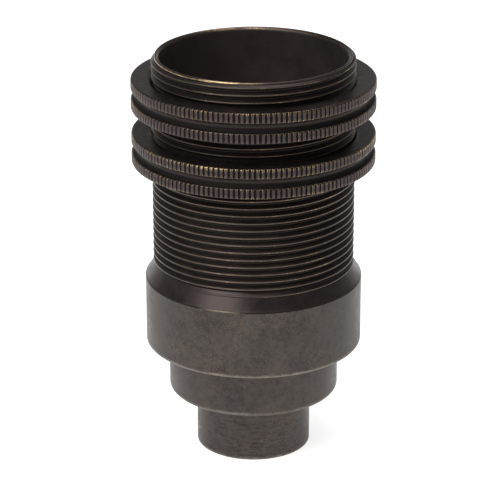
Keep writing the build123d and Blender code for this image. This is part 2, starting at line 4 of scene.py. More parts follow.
import bmesh
import bpy
from mathutils import Matrix, Vector
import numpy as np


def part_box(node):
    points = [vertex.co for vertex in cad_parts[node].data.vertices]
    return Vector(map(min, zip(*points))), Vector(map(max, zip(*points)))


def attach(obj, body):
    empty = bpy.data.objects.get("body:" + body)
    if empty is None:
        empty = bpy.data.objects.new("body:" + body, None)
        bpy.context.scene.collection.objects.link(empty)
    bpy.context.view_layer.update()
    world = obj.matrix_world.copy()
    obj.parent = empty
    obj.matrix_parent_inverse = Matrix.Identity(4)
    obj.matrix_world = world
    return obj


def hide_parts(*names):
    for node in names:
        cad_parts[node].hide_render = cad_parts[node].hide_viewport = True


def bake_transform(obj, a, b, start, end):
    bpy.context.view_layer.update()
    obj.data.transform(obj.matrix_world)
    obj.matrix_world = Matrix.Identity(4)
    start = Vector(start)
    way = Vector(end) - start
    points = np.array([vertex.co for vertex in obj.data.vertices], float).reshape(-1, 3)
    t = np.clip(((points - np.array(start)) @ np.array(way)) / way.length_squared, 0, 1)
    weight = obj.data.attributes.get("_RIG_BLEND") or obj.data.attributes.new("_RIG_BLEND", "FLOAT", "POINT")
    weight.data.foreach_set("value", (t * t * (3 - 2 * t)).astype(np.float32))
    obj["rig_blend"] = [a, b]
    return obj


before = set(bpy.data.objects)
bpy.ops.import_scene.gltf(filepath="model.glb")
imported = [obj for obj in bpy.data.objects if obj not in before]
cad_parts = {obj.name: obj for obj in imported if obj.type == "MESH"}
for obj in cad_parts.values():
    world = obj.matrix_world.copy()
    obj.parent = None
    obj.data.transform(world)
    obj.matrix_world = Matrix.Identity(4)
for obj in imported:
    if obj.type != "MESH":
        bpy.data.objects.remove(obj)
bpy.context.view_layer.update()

mm = 0.001
UP = Vector((0, 0, 1))

# ------------------
# Stepped cap. Turned from brass bar in one piece: a neck with the entry thread, a step, and a
# body with a thread inside its rim for the skirt. Bronzed, then rubbed back, which left it mottled.

_, cap_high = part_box("stepped_cap")
BODY_RADIUS = cap_high.x
CAP_TOP = cap_high.z
NECK_RADIUS = 11.4 * mm
NECK_TOP = 12.0 * mm
STEP_RADIUS = 16.95 * mm
STEP_TOP = 22.4 * mm
CHAMBER_RADIUS = 14.75 * mm
CHAMBER_FLOOR = 14.4 * mm
LEDGE = 24.8 * mm
ENTRY_CREST = 4.5 * mm
ENTRY_ROOT = 4.95 * mm
ENTRY_PITCH = 1.0 * mm
CAP_THREAD_CREST = 19.71 * mm
CAP_THREAD_ROOT = 20.21 * mm
CAP_THREAD_LOW = 28.64 * mm
CAP_THREAD_PITCH = 1.0 * mm
LOCK_SCREW_HEIGHT = 6.0 * mm
EARTH_SCREW_Y = -8.6 * mm
PIN_Y = 16.95 * mm
LOCK_HOLE = 1.55 * mm
EARTH_HOLE = 1.65 * mm
EARTH_HOLE_LOW = 8.95 * mm
PIN_HOLE = 1.05 * mm
STEP_ROUNDING = 0.95 * mm
DENT_RADIUS = 0.45 * mm
DENT_PLACE = (6.1 * mm, -9.9 * mm, -0.12 * mm)
TURNING_STEPS = 240
OVERCUT = 1.0 * mm


def with_margins(outline, margin=1.0 * mm):
    """The outline with a point near both ends of each long side, so wear stays near its edge."""
    points = []
    for start, end in zip(outline, outline[1:] + outline[:1]):
        points.append(start)
        side = Vector(end) - Vector(start)
        if side.length > 2.5 * margin:
            inward = side.normalized() * margin
            points += [tuple(Vector(start) + inward), tuple(Vector(end) - inward)]
    return points


def weld(bm, reach):
    """Merges points that lie within reach of each other."""
    bmesh.ops.remove_doubles(bm, verts=bm.verts[:], dist=reach)


def face_out(bm):
    """Makes the faces agree, and on a closed shape point outwards."""
    bmesh.ops.recalc_face_normals(bm, faces=bm.faces[:])


def turn(outline, steps=TURNING_STEPS):
    """Spins a closed outline of (radius, height) points about the upright axis into a solid."""
    bm = bmesh.new()
    corners = [bm.verts.new((radius, 0, height)) for radius, height in with_margins(outline)]
    sides = [bm.edges.new(pair) for pair in zip(corners, corners[1:] + corners[:1])]
    bmesh.ops.spin(
        bm, geom=corners + sides, cent=(0, 0, 0), axis=UP, angle=tau, steps=steps, use_merge=True
    )
    weld(bm, 0.0005 * mm)
    bmesh.ops.delete(bm, geom=[edge for edge in bm.edges if edge.is_wire], context="EDGES")
    face_out(bm)
    return bm


def ring_threads(tip, root, low, high, pitch):
    """Outline points, going up, of a ridged bore or stem that starts and ends on a ridge."""
    count = int((high - low) / pitch)
    points = []
    for ridge in range(count):
        start = low + ridge * pitch
        points += [(tip, start), (tip, start + 0.15 * pitch)]
        points += [(root, start + 0.5 * pitch), (root, start + 0.65 * pitch)]
    return points + [(tip, low + count * pitch), (tip, high)]


def bevel(bm, edges, width, steps):
    """Rounds edges, or chamfers them in one step."""
    bmesh.ops.bevel(
        bm, geom=edges, offset=width, segments=steps, profile=0.5, affect="EDGES", material=-1
    )


def round_rim(bm, radius, height, width, steps=4):
    """Rounds the circular edge at one radius and height."""
    near = 0.002 * mm
    on_rim = {
        vert
        for vert in bm.verts
        if abs(vert.co.z - height) < near and abs(vert.co.xy.length - radius) < near
    }
    bevel(bm, [edge for edge in bm.edges if on_rim.issuperset(edge.verts)], width, steps)


def as_object(bm, name):
    """Writes a mesh under construction to a new object and frees it."""
    mesh = bpy.data.meshes.new(name)
    bm.to_mesh(mesh)
    bm.free()
    made = bpy.data.objects.new(name, mesh)
    bpy.context.scene.collection.objects.link(made)
    return made


def cut(bm, *tools):
    """Takes the tools' shapes out of a solid."""
    blank = as_object(bm, "blank")
    cutters = [as_object(tool, "cutter") for tool in tools]
    for cutter in cutters:
        step = blank.modifiers.new("cut", "BOOLEAN")
        step.operation = "DIFFERENCE"
        step.solver = "EXACT"
        step.object = cutter
    bpy.context.view_layer.update()
    graph = bpy.context.evaluated_depsgraph_get()
    result = bmesh.new()
    result.from_mesh(blank.evaluated_get(graph).to_mesh())
    for spare in [blank, *cutters]:
        mesh = spare.data
        bpy.data.objects.remove(spare)
        bpy.data.meshes.remove(mesh)
    return result


def bar(radius, length, middle, along=UP, sides=32):
    """A round or many-sided bar with its middle at a point."""
    bm = bmesh.new()
    place = Matrix.Translation(middle) @ Vector(along).to_track_quat("Z", "Y").to_matrix().to_4x4()
    bmesh.ops.create_cone(
        bm, cap_ends=True, segments=sides, radius1=radius, radius2=radius, depth=length, matrix=place
    )
    return bm


def upright(radius, low, high, x=0.0, y=0.0, sides=32):
    """A bar that stands between two heights."""
    return bar(radius, high - low, (x, y, (low + high) / 2), sides=sides)


def mark_edges(bm, reach=0.25 * mm):
    """Stores on each point how sharply it stands out: 1 on a square edge, and below 0 in a corner.

    The bends of a rounded edge lie within reach of each other and add up to a sharp one.
    """
    layer = bm.verts.layers.float.new("edge")
    bends = {
        vert: sum(edge.calc_face_angle_signed(0) for edge in vert.link_edges) / pi
        for vert in bm.verts
    }
    for vert in bm.verts:
        total = bends[vert]
        if total > 0.03:
            near = [edge.other_vert(vert) for edge in vert.link_edges if edge.calc_length() < reach]
            total += max([bends[other] for other in near if bends[other] > 0.03], default=0)
        vert[layer] = min(max(total, -1), 2)


def wear_rim(bm, low, high, amount, toward=0.0, spread=1000.0):
    """Adds to the marks of the edges between two heights, most at one place and less to both sides.

    toward and spread are in degrees round from the front, to its right.
    """
    layer = bm.verts.layers.float["edge"]
    for vert in bm.verts:
        off = degrees(atan2(vert.co.x, -vert.co.y)) - toward
        off = min(abs(off), abs(off + 360)) / spread
        if low < vert.co.z < high and vert[layer] > 0.1 and off < 1:
            vert[layer] += amount * (1 - off**2)


def finish_piece(bm, name, material, node, body="cap", smooth=35, turned=True):
    """Makes a mesh into a shaded piece that rides on its body, if any, and stands for its CAD node.

    Only a turned piece has its points close enough to its edges to mark them, once.
    """
    if turned and "edge" not in bm.verts.layers.float:
        mark_edges(bm)
    piece = as_object(bm, name)
    piece.data.materials.append(material)
    piece.data.shade_smooth()
    piece.data.set_sharp_from_angle(angle=radians(smooth))
    if body:
        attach(piece, body)
    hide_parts(node)
    return piece


def feed(node, values):
    """Sets a node's input sockets, and links those that are given a socket."""
    for name, value in values.items():
        if isinstance(value, bpy.types.NodeSocket):
            node.id_data.links.new(value, node.inputs[name])
        else:
            node.inputs[name].default_value = value


def add(tree, kind, values=None, **settings):
    """Adds a shader node with its settings and with what goes to its input sockets."""
    made = tree.nodes.new("ShaderNode" + kind)
    for name, setting in settings.items():
        setattr(made, name, setting)
    feed(made, values or {})
    return made


def maths(operation, first, second=0.0):
    """One arithmetic step on a socket and a second socket or number."""
    return add(first.id_data, "Math", {0: first, 1: second}, operation=operation).outputs[0]


def ramp(value, low, high, to_low=0.0, to_high=1.0):
    """A smooth step of a value from one range to another."""
    values = {"Value": value, "From Min": low, "From Max": high, "To Min": to_low, "To Max": to_high}
    return add(value.id_data, "MapRange", values, interpolation_type="SMOOTHSTEP").outputs["Result"]


def mix(mask, first, second):
    """Blends two colours by a mask."""
    return add(mask.id_data, "Mix", {0: mask, 6: first, 7: second}, data_type="RGBA").outputs[2]


def clouds(position, scale, detail=4.0, roughness=0.55):
    """Plain noise at a number of features to the metre."""
    values = {"Vector": position, "Scale": scale, "Detail": detail, "Roughness": roughness}
    return add(position.id_data, "TexNoise", values).outputs["Fac"]


def vectors(operation, first, values):
    """One step on a position or a colour, with what goes to the other sockets."""
    return add(first.id_data, "VectorMath", {0: first, **values}, operation=operation).outputs[0]


def shifted(position, step):
    """The position moved by a fixed step, for a second, unlike pattern."""
    return vectors("ADD", position, {1: step})


def new_group(name, inputs, outputs):
    """A shader node group with named sockets: its tree, what it is given, and its end node.

    None makes a socket for a position, four numbers one for a colour, and a number one for a value.
    """
    tree = bpy.data.node_groups.new(name, "ShaderNodeTree")
    for way, sockets in (("INPUT", inputs), ("OUTPUT", outputs)):
        for label, value in sockets.items():
            kind = "Vector" if value is None else "Color" if isinstance(value, tuple) else "Float"
            socket = tree.interface.new_socket(label, in_out=way, socket_type="NodeSocket" + kind)
            if value is not None:
                socket.default_value = value
    return tree, tree.nodes.new("NodeGroupInput").outputs, tree.nodes.new("NodeGroupOutput")


def make_turning_marks():
    """The fine grooves that a lathe tool leaves round a surface."""
    tree, given, result = new_group(
        "turning_marks", {"Position": None, "To The Metre": 3000.0}, {"Height": 0.0}
    )
    x, y, z = add(tree, "SeparateXYZ", {0: given["Position"]}).outputs
    radius = maths("SQRT", maths("ADD", maths("POWER", x, 2.0), maths("POWER", y, 2.0)))
    fine = given["To The Metre"]
    across, along = maths("MULTIPLY", radius, fine), maths("MULTIPLY", z, fine)
    lines = add(tree, "CombineXYZ", {0: across, 1: along, 2: maths("MULTIPLY", x, 60.0)})
    feed(result, {"Height": clouds(lines.outputs[0], 1.0, 3.0)})
    return tree


def make_edge_wear():
    """Where handling has rubbed the finish off raised edges, in patches."""
    tree, given, result = new_group(
        "edge_wear",
        {"Position": None, "Edge": 0.0, "Start": 0.3, "End": 0.8, "Patch Scale": 150.0,
         "Patchiness": 0.6},
        {"Mask": 0.0},
    )
    position = given["Position"]
    patches = maths("SUBTRACT", clouds(position, given["Patch Scale"], 3.0), 0.5)
    flecks = maths("SUBTRACT", clouds(position, 2600.0, 2.0), 0.5)
    uneven = maths("ADD", patches, maths("MULTIPLY", flecks, 0.8))
    uneven = maths("MULTIPLY", uneven, given["Patchiness"])
    amount = maths("ADD", given["Edge"], maths("MULTIPLY", uneven, 2.0))
    worn = ramp(amount, given["Start"], given["End"])
    feed(result, {"Mask": maths("MULTIPLY", worn, ramp(given["Edge"], 0.1, 0.3))})
    return tree


def make_bronzing():
    """The colour of chemically bronzed brass.

    Two tones in clouds and grain, brown patches, streaks along the turning and pinpoints of brass.
    """
    tree, given, result = new_group(
        "bronzing",
        {"Position": None, "Dark": (0.02, 0.02, 0.02, 1), "Light": (0.06, 0.06, 0.06, 1),
         "Brown": (0.05, 0.03, 0.02, 1), "Pinpoints": (0.3, 0.2, 0.1, 1), "Cloud Scale": 140.0,
         "Grain Strength": 0.5, "Streak Strength": 0.0},
        {"Colour": (0, 0, 0, 1), "Unevenness": 0.0},
    )
    position = given["Position"]
    large = ramp(clouds(position, given["Cloud Scale"], 5.0, 0.6), 0.32, 0.68)
    grain = ramp(clouds(position, 750.0, 4.0, 0.7), 0.3, 0.7)
    specks = ramp(clouds(position, 2600.0, 4.0, 0.7), 0.3, 0.7)
    mottle = maths("SUBTRACT", maths("ADD", grain, specks), 1.0)
    mottle = maths("MULTIPLY", mottle, given["Grain Strength"])
    drawn = vectors("MULTIPLY", position, {1: (380.0, 380.0, 2600.0)})
    streaks = maths("SUBTRACT", ramp(clouds(drawn, 1.0, 4.0, 0.6), 0.32, 0.68), 0.5)
    amount = maths("ADD", mottle, maths("MULTIPLY", streaks, given["Streak Strength"]))
    tone = maths("ADD", maths("MULTIPLY", large, 0.5), maths("ADD", amount, 0.25))
    body = mix(tone, given["Dark"], given["Light"])
    warm = clouds(shifted(position, (0.31, 0.17, 0.05)), 330.0, 6.0, 0.75)
    browned = mix(ramp(warm, 0.48, 0.8, 0.0, 0.7), body, given["Brown"])
    points = ramp(clouds(position, 5200.0, 1.0), 0.66, 0.74)
    worn = ramp(clouds(shifted(position, (0.13, 0.02, 0.4)), 120.0, 3.0), 0.45, 0.62)
    feed(result, {
        "Colour": mix(maths("MULTIPLY", points, worn), browned, given["Pinpoints"]),
        "Unevenness": maths("ADD", maths("MULTIPLY", large, 0.5), amount),
    })
    return tree


turning_marks = make_turning_marks()
edge_wear = make_edge_wear()
bronzing = make_bronzing()
BARE_BRASS = (0.62, 0.45, 0.25, 1)
# The edge mark at and below which a hollow is darkest and roughest; the darkening is painted shade with some
# dirt.
DIRT_AND_SHADE_BELOW = -0.35


def new_material(name):
    """An empty material with its shader, its object position and its edge marks."""
    material = bpy.data.materials.new(name)
    material.use_nodes = True
    tree = material.node_tree
    position = add(tree, "TexCoord").outputs["Object"]
    edge = add(tree, "Attribute", attribute_name="edge").outputs["Fac"]
    return material, tree.nodes["Principled BSDF"], position, edge


def use(group, position, values):
    """Places a node group with its values and returns its output sockets."""
    made = add(position.id_data, "Group", node_tree=group)
    feed(made, {"Position": position, **values})
    return made.outputs


def emboss(shader, height, depth):
    """Feeds a height to the shader as relief of this depth."""
    bump = add(shader.id_data, "Bump", {"Height": height, "Strength": 1.0, "Distance": depth})
    feed(shader, {"Normal": bump.outputs[0]})


def bronzed_brass(
    name, dark, light, brown, rubbed, roughness, wear=(0.75, 1.7), polish=(0.3, 0.75), patchiness=0.8,
    grain=0.25, marks=3500.0, streaked_below=0.0, pinpoints=None,
):
    """Bronzed brass: lighter where hands rub it, and bare where an edge is worn through.

    wear and polish are the edge marks between which the brass shows and the finish is rubbed.
    """
    material, shader, position, edge = new_material(name)
    height = add(shader.id_data, "SeparateXYZ", {0: position}).outputs[2]
    streaks = ramp(height, streaked_below - 2 * mm, streaked_below + 3 * mm, 1.0, 0.12)
    tones = use(bronzing, position, {
        "Dark": dark, "Light": light, "Brown": brown, "Grain Strength": grain,
        "Streak Strength": streaks, "Pinpoints": pinpoints or light,
    })
    bare = use(edge_wear, position, {
        "Edge": edge, "Start": wear[0], "End": wear[1], "Patchiness": patchiness,
    })["Mask"]
    polished = use(edge_wear, shifted(position, (0.2, 0.1, 0.4)), {
        "Edge": edge, "Start": polish[0], "End": polish[1], "Patch Scale": 260.0, "Patchiness": 0.35,
    })["Mask"]
    # Hollows and corners are darkened, as painted shade with some dirt, and made rougher.
    hollow_dirt_and_shade = ramp(edge, DIRT_AND_SHADE_BELOW, 0.0, 0.3, 1.0)
    handled = mix(polished, vectors("SCALE", tones["Colour"], {"Scale": hollow_dirt_and_shade}), rubbed)
    uneven = maths("MULTIPLY", maths("SUBTRACT", tones["Unevenness"], 0.25), 0.22)
    matt = maths("ADD", uneven, ramp(edge, DIRT_AND_SHADE_BELOW, 0.0, roughness + 0.35, roughness))
    feed(shader, {
        "Base Color": mix(bare, handled, BARE_BRASS),
        "Metallic": ramp(maths("MAXIMUM", polished, bare), 0.0, 1.0, 0.72, 1.0),
        "Roughness": maths("SUBTRACT", matt, maths("MULTIPLY", bare, 0.1)),
    })
    lines = use(turning_marks, position, {"To The Metre": marks})["Height"]
    emboss(shader, maths("ADD", lines, tones["Unevenness"]), 0.006 * mm)
    return material


bronzed_cap = bronzed_brass(
    "bronzed_cap", dark=(0.034, 0.0275, 0.0243, 1), light=(0.087, 0.0735, 0.0662, 1),
    brown=(0.078, 0.056, 0.044, 1), rubbed=(0.2, 0.172, 0.15, 1), roughness=0.45, wear=(0.75, 1.5),
    polish=(0.1, 0.55), patchiness=0.75, grain=0.6, marks=2500.0, streaked_below=NECK_TOP,
    pinpoints=(0.27, 0.19, 0.11, 1),
)

entry_thread = ring_threads(ENTRY_CREST, ENTRY_ROOT, 1.0 * mm, CHAMBER_FLOOR - 0.5 * mm, ENTRY_PITCH)
cap_thread = ring_threads(
    CAP_THREAD_CREST, CAP_THREAD_ROOT, CAP_THREAD_LOW, CAP_TOP - 0.4 * mm, CAP_THREAD_PITCH
)
cap_mesh = turn([
    (ENTRY_ROOT + 0.1 * mm, 0), (NECK_RADIUS, 0), (NECK_RADIUS, NECK_TOP), (STEP_RADIUS, NECK_TOP),
    (STEP_RADIUS, STEP_TOP), (BODY_RADIUS, STEP_TOP), (BODY_RADIUS, CAP_TOP - 0.25 * mm),
    (BODY_RADIUS, CAP_TOP), (CAP_THREAD_ROOT, CAP_TOP), *cap_thread[::-1],
    (CAP_THREAD_CREST, LEDGE), (CHAMBER_RADIUS, LEDGE), (CHAMBER_RADIUS, CHAMBER_FLOOR),
    (ENTRY_ROOT, CHAMBER_FLOOR), *entry_thread[::-1],
])
round_rim(cap_mesh, NECK_RADIUS, 0.0, 0.2 * mm)
round_rim(cap_mesh, STEP_RADIUS, NECK_TOP, STEP_ROUNDING, steps=7)
round_rim(cap_mesh, BODY_RADIUS, STEP_TOP, 0.4 * mm)
round_rim(cap_mesh, BODY_RADIUS, CAP_TOP, 0.07 * mm, steps=3)
mark_edges(cap_mesh)
wear_rim(cap_mesh, CAP_TOP - 0.2 * mm, CAP_TOP + 1 * mm, 1.35, toward=-17, spread=14)
wear_rim(cap_mesh, CAP_TOP - 0.2 * mm, CAP_TOP + 1 * mm, -1.1)
dent = bmesh.new()
bmesh.ops.create_icosphere(
    dent, subdivisions=2, radius=DENT_RADIUS, matrix=Matrix.Translation(DENT_PLACE)
)
cap_mesh = cut(
    cap_mesh,
    bar(LOCK_HOLE, NECK_RADIUS, (0, NECK_RADIUS, LOCK_SCREW_HEIGHT), (0, 1, 0), 40),
    upright(EARTH_HOLE, EARTH_HOLE_LOW, CHAMBER_FLOOR + OVERCUT, y=EARTH_SCREW_Y),
    upright(PIN_HOLE, LEDGE - 1.85 * mm, LEDGE + OVERCUT, y=PIN_Y),
    dent,
)
finish_piece(cap_mesh, "cap", bronzed_cap, "stepped_cap")

# ------------------
# Locating pin. A short length of steel rod with rounded ends, pressed into the cap's ledge. The
# insert's flange has a notch that drops over it, so the insert can't turn.

PIN_RADIUS = 1.0 * mm
PIN_LOW = LEDGE - 1.8 * mm
PIN_HIGH = LEDGE + 1.8 * mm


def tube(inner, outer, low, high, steps):
    """A plain ring, or a rod when it has no bore."""
    return turn([(inner, low), (outer, low), (outer, high), (inner, high)], steps)


def move(bm, step, points=None):
    """Moves some points of a mesh, or all of them."""
    bmesh.ops.translate(bm, verts=points or bm.verts[:], vec=step)


def make_tarnish():
    """The colour of bare metal in air: its own, with darker clouds and specks."""
    tree, given, result = new_group(
        "tarnish",
        {"Position": None, "Metal": (0.8, 0.6, 0.3, 1), "Tarnish": (0.3, 0.18, 0.08, 1), "Amount": 0.5},
        {"Colour": (0, 0, 0, 1), "Mask": 0.0},
    )
    position = given["Position"]
    cloud = ramp(clouds(position, 260.0, 5.0, 0.6), 0.35, 0.75)
    speck = ramp(clouds(shifted(position, (0.1, 0.3, 0.2)), 1800.0, 3.0), 0.55, 0.75)
    both = maths("MAXIMUM", cloud, maths("MULTIPLY", speck, 0.7))
    mask = maths("MULTIPLY", both, given["Amount"])
    feed(result, {"Colour": mix(mask, given["Metal"], given["Tarnish"]), "Mask": mask})
    return tree


tarnish = make_tarnish()


def bare_metal(name, metal, dull, roughness, amount=0.5, marks=4000.0):
    """Plain or plated metal, a little tarnished, with brighter edges and fine tool marks."""
    material, shader, position, edge = new_material(name)
    tones = use(tarnish, position, {"Metal": metal, "Tarnish": dull, "Amount": amount})
    wear = {"Edge": edge, "Start": 0.2, "End": 0.9, "Patchiness": 0.5}
    rubbed = use(edge_wear, position, wear)["Mask"]
    # Corners and hollows are darkened: painted shade with some dirt.
    hollow_dirt_and_shade = ramp(edge, -0.6, -0.05, 0.5, 1.0)
    feed(shader, {
        "Base Color": mix(rubbed, vectors("SCALE", tones["Colour"], {"Scale": hollow_dirt_and_shade}), metal),
        "Metallic": 1.0,
        "Roughness": maths("ADD", maths("MULTIPLY", tones["Mask"], 0.25), roughness),
    })
    emboss(shader, use(turning_marks, position, {"To The Metre": marks})["Height"], 0.004 * mm)
    return material


plain_steel = bare_metal("plain_steel", (0.42, 0.42, 0.43, 1), (0.16, 0.14, 0.12, 1), 0.3)

pin_mesh = tube(0, PIN_RADIUS, PIN_LOW, PIN_HIGH, 32)
round_rim(pin_mesh, PIN_RADIUS, PIN_LOW, 0.2 * mm, 3)
round_rim(pin_mesh, PIN_RADIUS, PIN_HIGH, 0.3 * mm, 3)
move(pin_mesh, (0, PIN_Y, 0))
finish_piece(pin_mesh, "insert_pin", plain_steel, "locating_pin")

# ------------------
# Entry lock screw. A black steel grub screw with a hexagon socket and a cup point, in the back of
# the neck. It is turned in against the threaded pipe and stops it working loose.

lock_low, lock_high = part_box("entry_lock_screw")
LOCK_RADIUS = 1.5 * mm
HEX_SOCKET = 0.866 * mm
HEX_SOCKET_DEPTH = 1.8 * mm
LOCK_NEAR = lock_low.y
LOCK_FAR = lock_high.y
SCREW_PITCH = 0.5 * mm


def lay_along(bm, direction, place=(0, 0, 0)):
    """Turns an upright shape to lie along a direction, then moves it."""
    bm.transform(Vector(direction).to_track_quat("Z", "Y").to_matrix().to_4x4())
    move(bm, place)
    return bm


black_steel = bare_metal("black_steel", (0.05, 0.05, 0.052, 1), (0.02, 0.018, 0.017, 1), 0.36)

lock_stem = ring_threads(
    LOCK_RADIUS, LOCK_RADIUS - 0.28 * mm, LOCK_NEAR + 0.35 * mm, LOCK_FAR - 0.3 * mm, SCREW_PITCH
)
lock_mesh = turn([
    (0, LOCK_NEAR + 0.25 * mm), (0.55 * mm, LOCK_NEAR), (LOCK_RADIUS - 0.35 * mm, LOCK_NEAR),
    *lock_stem, (LOCK_RADIUS - 0.22 * mm, LOCK_FAR), (0, LOCK_FAR),
], 36)
hexagon = upright(HEX_SOCKET, LOCK_FAR - HEX_SOCKET_DEPTH, LOCK_FAR + OVERCUT, sides=6)
lock_mesh = cut(lock_mesh, hexagon)
lay_along(lock_mesh, (0, 1, 0), (0, 0, LOCK_SCREW_HEIGHT))
finish_piece(lock_mesh, "lock_screw", black_steel, "entry_lock_screw")

# ------------------
# Earth screw and washer. A nickel-plated slotted cheese-head screw with a plain washer, on the
# floor of the cap's chamber, for the earth wire.

EARTH_WASHER_RADIUS = 3.1 * mm
EARTH_WASHER_TOP = 15.02 * mm
EARTH_HEAD_BOTTOM = 15.04 * mm
EARTH_HEAD_TOP = 16.84 * mm
EARTH_HEAD_RADIUS = 2.7 * mm
EARTH_RADIUS = 1.6 * mm
EARTH_POINT = 9.0 * mm


def block(low, high):
    """A rectangular block between two corners."""
    bm = bmesh.new()
    size = Vector(high) - Vector(low)
    middle = (Vector(high) + Vector(low)) / 2
    bmesh.ops.create_cube(bm, size=1, matrix=Matrix.Translation(middle) @ Matrix.Diagonal((*size, 1)))
    return bm


def slotted_screw(radius, head_radius, point, seat, top, slot_width=0.8 * mm, slot_depth=0.7 * mm):
    """An upright screw with its head up: threaded stem, cheese head, slot across the head along X."""
    stem = ring_threads(radius, radius - 0.3 * mm, point + 0.3 * mm, seat - 0.4 * mm, SCREW_PITCH)
    screw = turn([
        (0, point), (radius - 0.35 * mm, point), *stem, (radius, seat), (head_radius, seat),
        (head_radius, top), (0, top),
    ], 48)
    round_rim(screw, head_radius, top, 0.25 * mm, 3)
    round_rim(screw, head_radius, seat, 0.1 * mm, 2)
    reach = head_radius + OVERCUT
    slot = block((-reach, -slot_width / 2, top - slot_depth), (reach, slot_width / 2, top + OVERCUT))
    return cut(screw, slot)


plated_screws = bare_metal("plated_screws", (0.68, 0.66, 0.6, 1), (0.3, 0.27, 0.22, 1), 0.24, 0.6)

earth_mesh = slotted_screw(
    EARTH_RADIUS, EARTH_HEAD_RADIUS, EARTH_POINT, EARTH_HEAD_BOTTOM, EARTH_HEAD_TOP
)
move(earth_mesh, (0, EARTH_SCREW_Y, 0))
finish_piece(earth_mesh, "earth_wire_screw", plated_screws, "earth_screw")

washer_mesh = tube(
    EARTH_RADIUS + 0.05 * mm, EARTH_WASHER_RADIUS, CHAMBER_FLOOR + 0.02 * mm, EARTH_WASHER_TOP, 48
)
round_rim(washer_mesh, EARTH_WASHER_RADIUS, EARTH_WASHER_TOP, 0.15 * mm, 3)
move(washer_mesh, (0, EARTH_SCREW_Y, 0))
finish_piece(washer_mesh, "earth_wire_washer", plated_screws, "earth_washer")

# ------------------
# Ceramic base. Pressed and fired, unglazed and cream: a spigot that hangs in the cap's chamber, a
# flange that rests on the ledge, and a boss with two pockets for the terminals.

base_low, base_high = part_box("ceramic_base")
BASE_BOTTOM = base_low.z
BASE_TOP = base_high.z
FLANGE_RADIUS = base_high.x
FLANGE_BOTTOM = 24.82 * mm
FLANGE_TOP = 28.62 * mm
BOSS_RADIUS = 17.15 * mm
SPIGOT_RADIUS = CHAMBER_RADIUS - 0.3 * mm
TERMINAL_FAR = 13.85 * mm
TERMINAL_NEAR = 8.45 * mm
TERMINAL_MIDDLE = 11.15 * mm
TERMINAL_HALF_WIDTH = 3.7 * mm
TERMINAL_LOW = BASE_TOP - 8.0 * mm
TAB_THICKNESS = 1.1 * mm
CLAMP_HEIGHT = BASE_TOP - TAB_THICKNESS - 3.45 * mm
LIVE_TAB_REACH = 3.8 * mm
CERAMIC_GAP = 0.3 * mm
RIVET_CIRCLE = 11.1 * mm
CUP_SCREW_HOLE = 1.8 * mm
WIRE_HOLE = 1.8 * mm
DRIVER_HOLE = 2.4 * mm
SCREW_HEAD_HOLE = 2.9 * mm
RIVET_END_HOLE = 1.75 * mm
PIN_NOTCH = 1.25 * mm
NOTCH_FAR = 21 * mm
SCREW_ANGLES = (60, -60)
RIVET_ANGLES = (0, 120, 240)


def round_place(radius, angle):
    """The point at an angle in degrees on a circle about the axis."""
    return radius * cos(radians(angle)), radius * sin(radians(angle))


def soften(piece, width, steps=2, sharper_than=40):
    """Leaves the piece's sharp edges a little rounded, as pressing or filing does."""
    rounding = piece.modifiers.new("soft_edges", "BEVEL")
    rounding.width = width
    rounding.segments = steps
    rounding.limit_method = "ANGLE"
    rounding.angle_limit = radians(sharper_than)
    rounding.miter_outer = "MITER_ARC"


def make_fired_clay():
    """The colour and relief of fired clay: faint clouds, pores and a few dark grains."""
    tree, given, result = new_group(
        "fired_clay",
        {"Position": None, "Clay": (0.7, 0.66, 0.58, 1), "Stain": (0.5, 0.43, 0.33, 1), "Grains": 0.5},
        {"Colour": (0, 0, 0, 1), "Height": 0.0},
    )
    position = given["Position"]
    cloud = ramp(clouds(position, 190.0, 5.0, 0.6), 0.35, 0.8)
    grain = ramp(clouds(shifted(position, (0.4, 0.1, 0.3)), 2400.0, 2.0), 0.68, 0.76)
    stained = maths("ADD", maths("MULTIPLY", cloud, 0.35), maths("MULTIPLY", grain, given["Grains"]))
    colour = mix(stained, given["Clay"], given["Stain"])
    feed(result, {"Colour": colour, "Height": clouds(position, 5200.0, 3.0)})
    return tree


fired_clay = make_fired_clay()


def ceramic(name, clay, stain, grains, roughness, coat, relief):
    """Fired clay, bare or under a clear glaze."""
    material, shader, position, _ = new_material(name)
    tones = use(fired_clay, position, {"Clay": clay, "Stain": stain, "Grains": grains})
    worn = clouds(shifted(position, (0.7, 0.2, 0.1)), 320.0, 4.0)
    matt = ramp(worn, 0.3, 0.7, roughness - 0.06, roughness + 0.1)
    feed(shader, {"Base Color": tones["Colour"], "Roughness": matt})
    if coat:
        feed(shader, {"Coat Weight": ramp(worn, 0.2, 0.8, coat, coat * 0.8), "Coat Roughness": 0.06})
    emboss(shader, tones["Height"], relief)
    return material


bare_ceramic = ceramic(
    "bare_ceramic", (0.66, 0.61, 0.52, 1), (0.42, 0.35, 0.26, 1), 0.6, 0.62, 0.0, 0.03 * mm
)

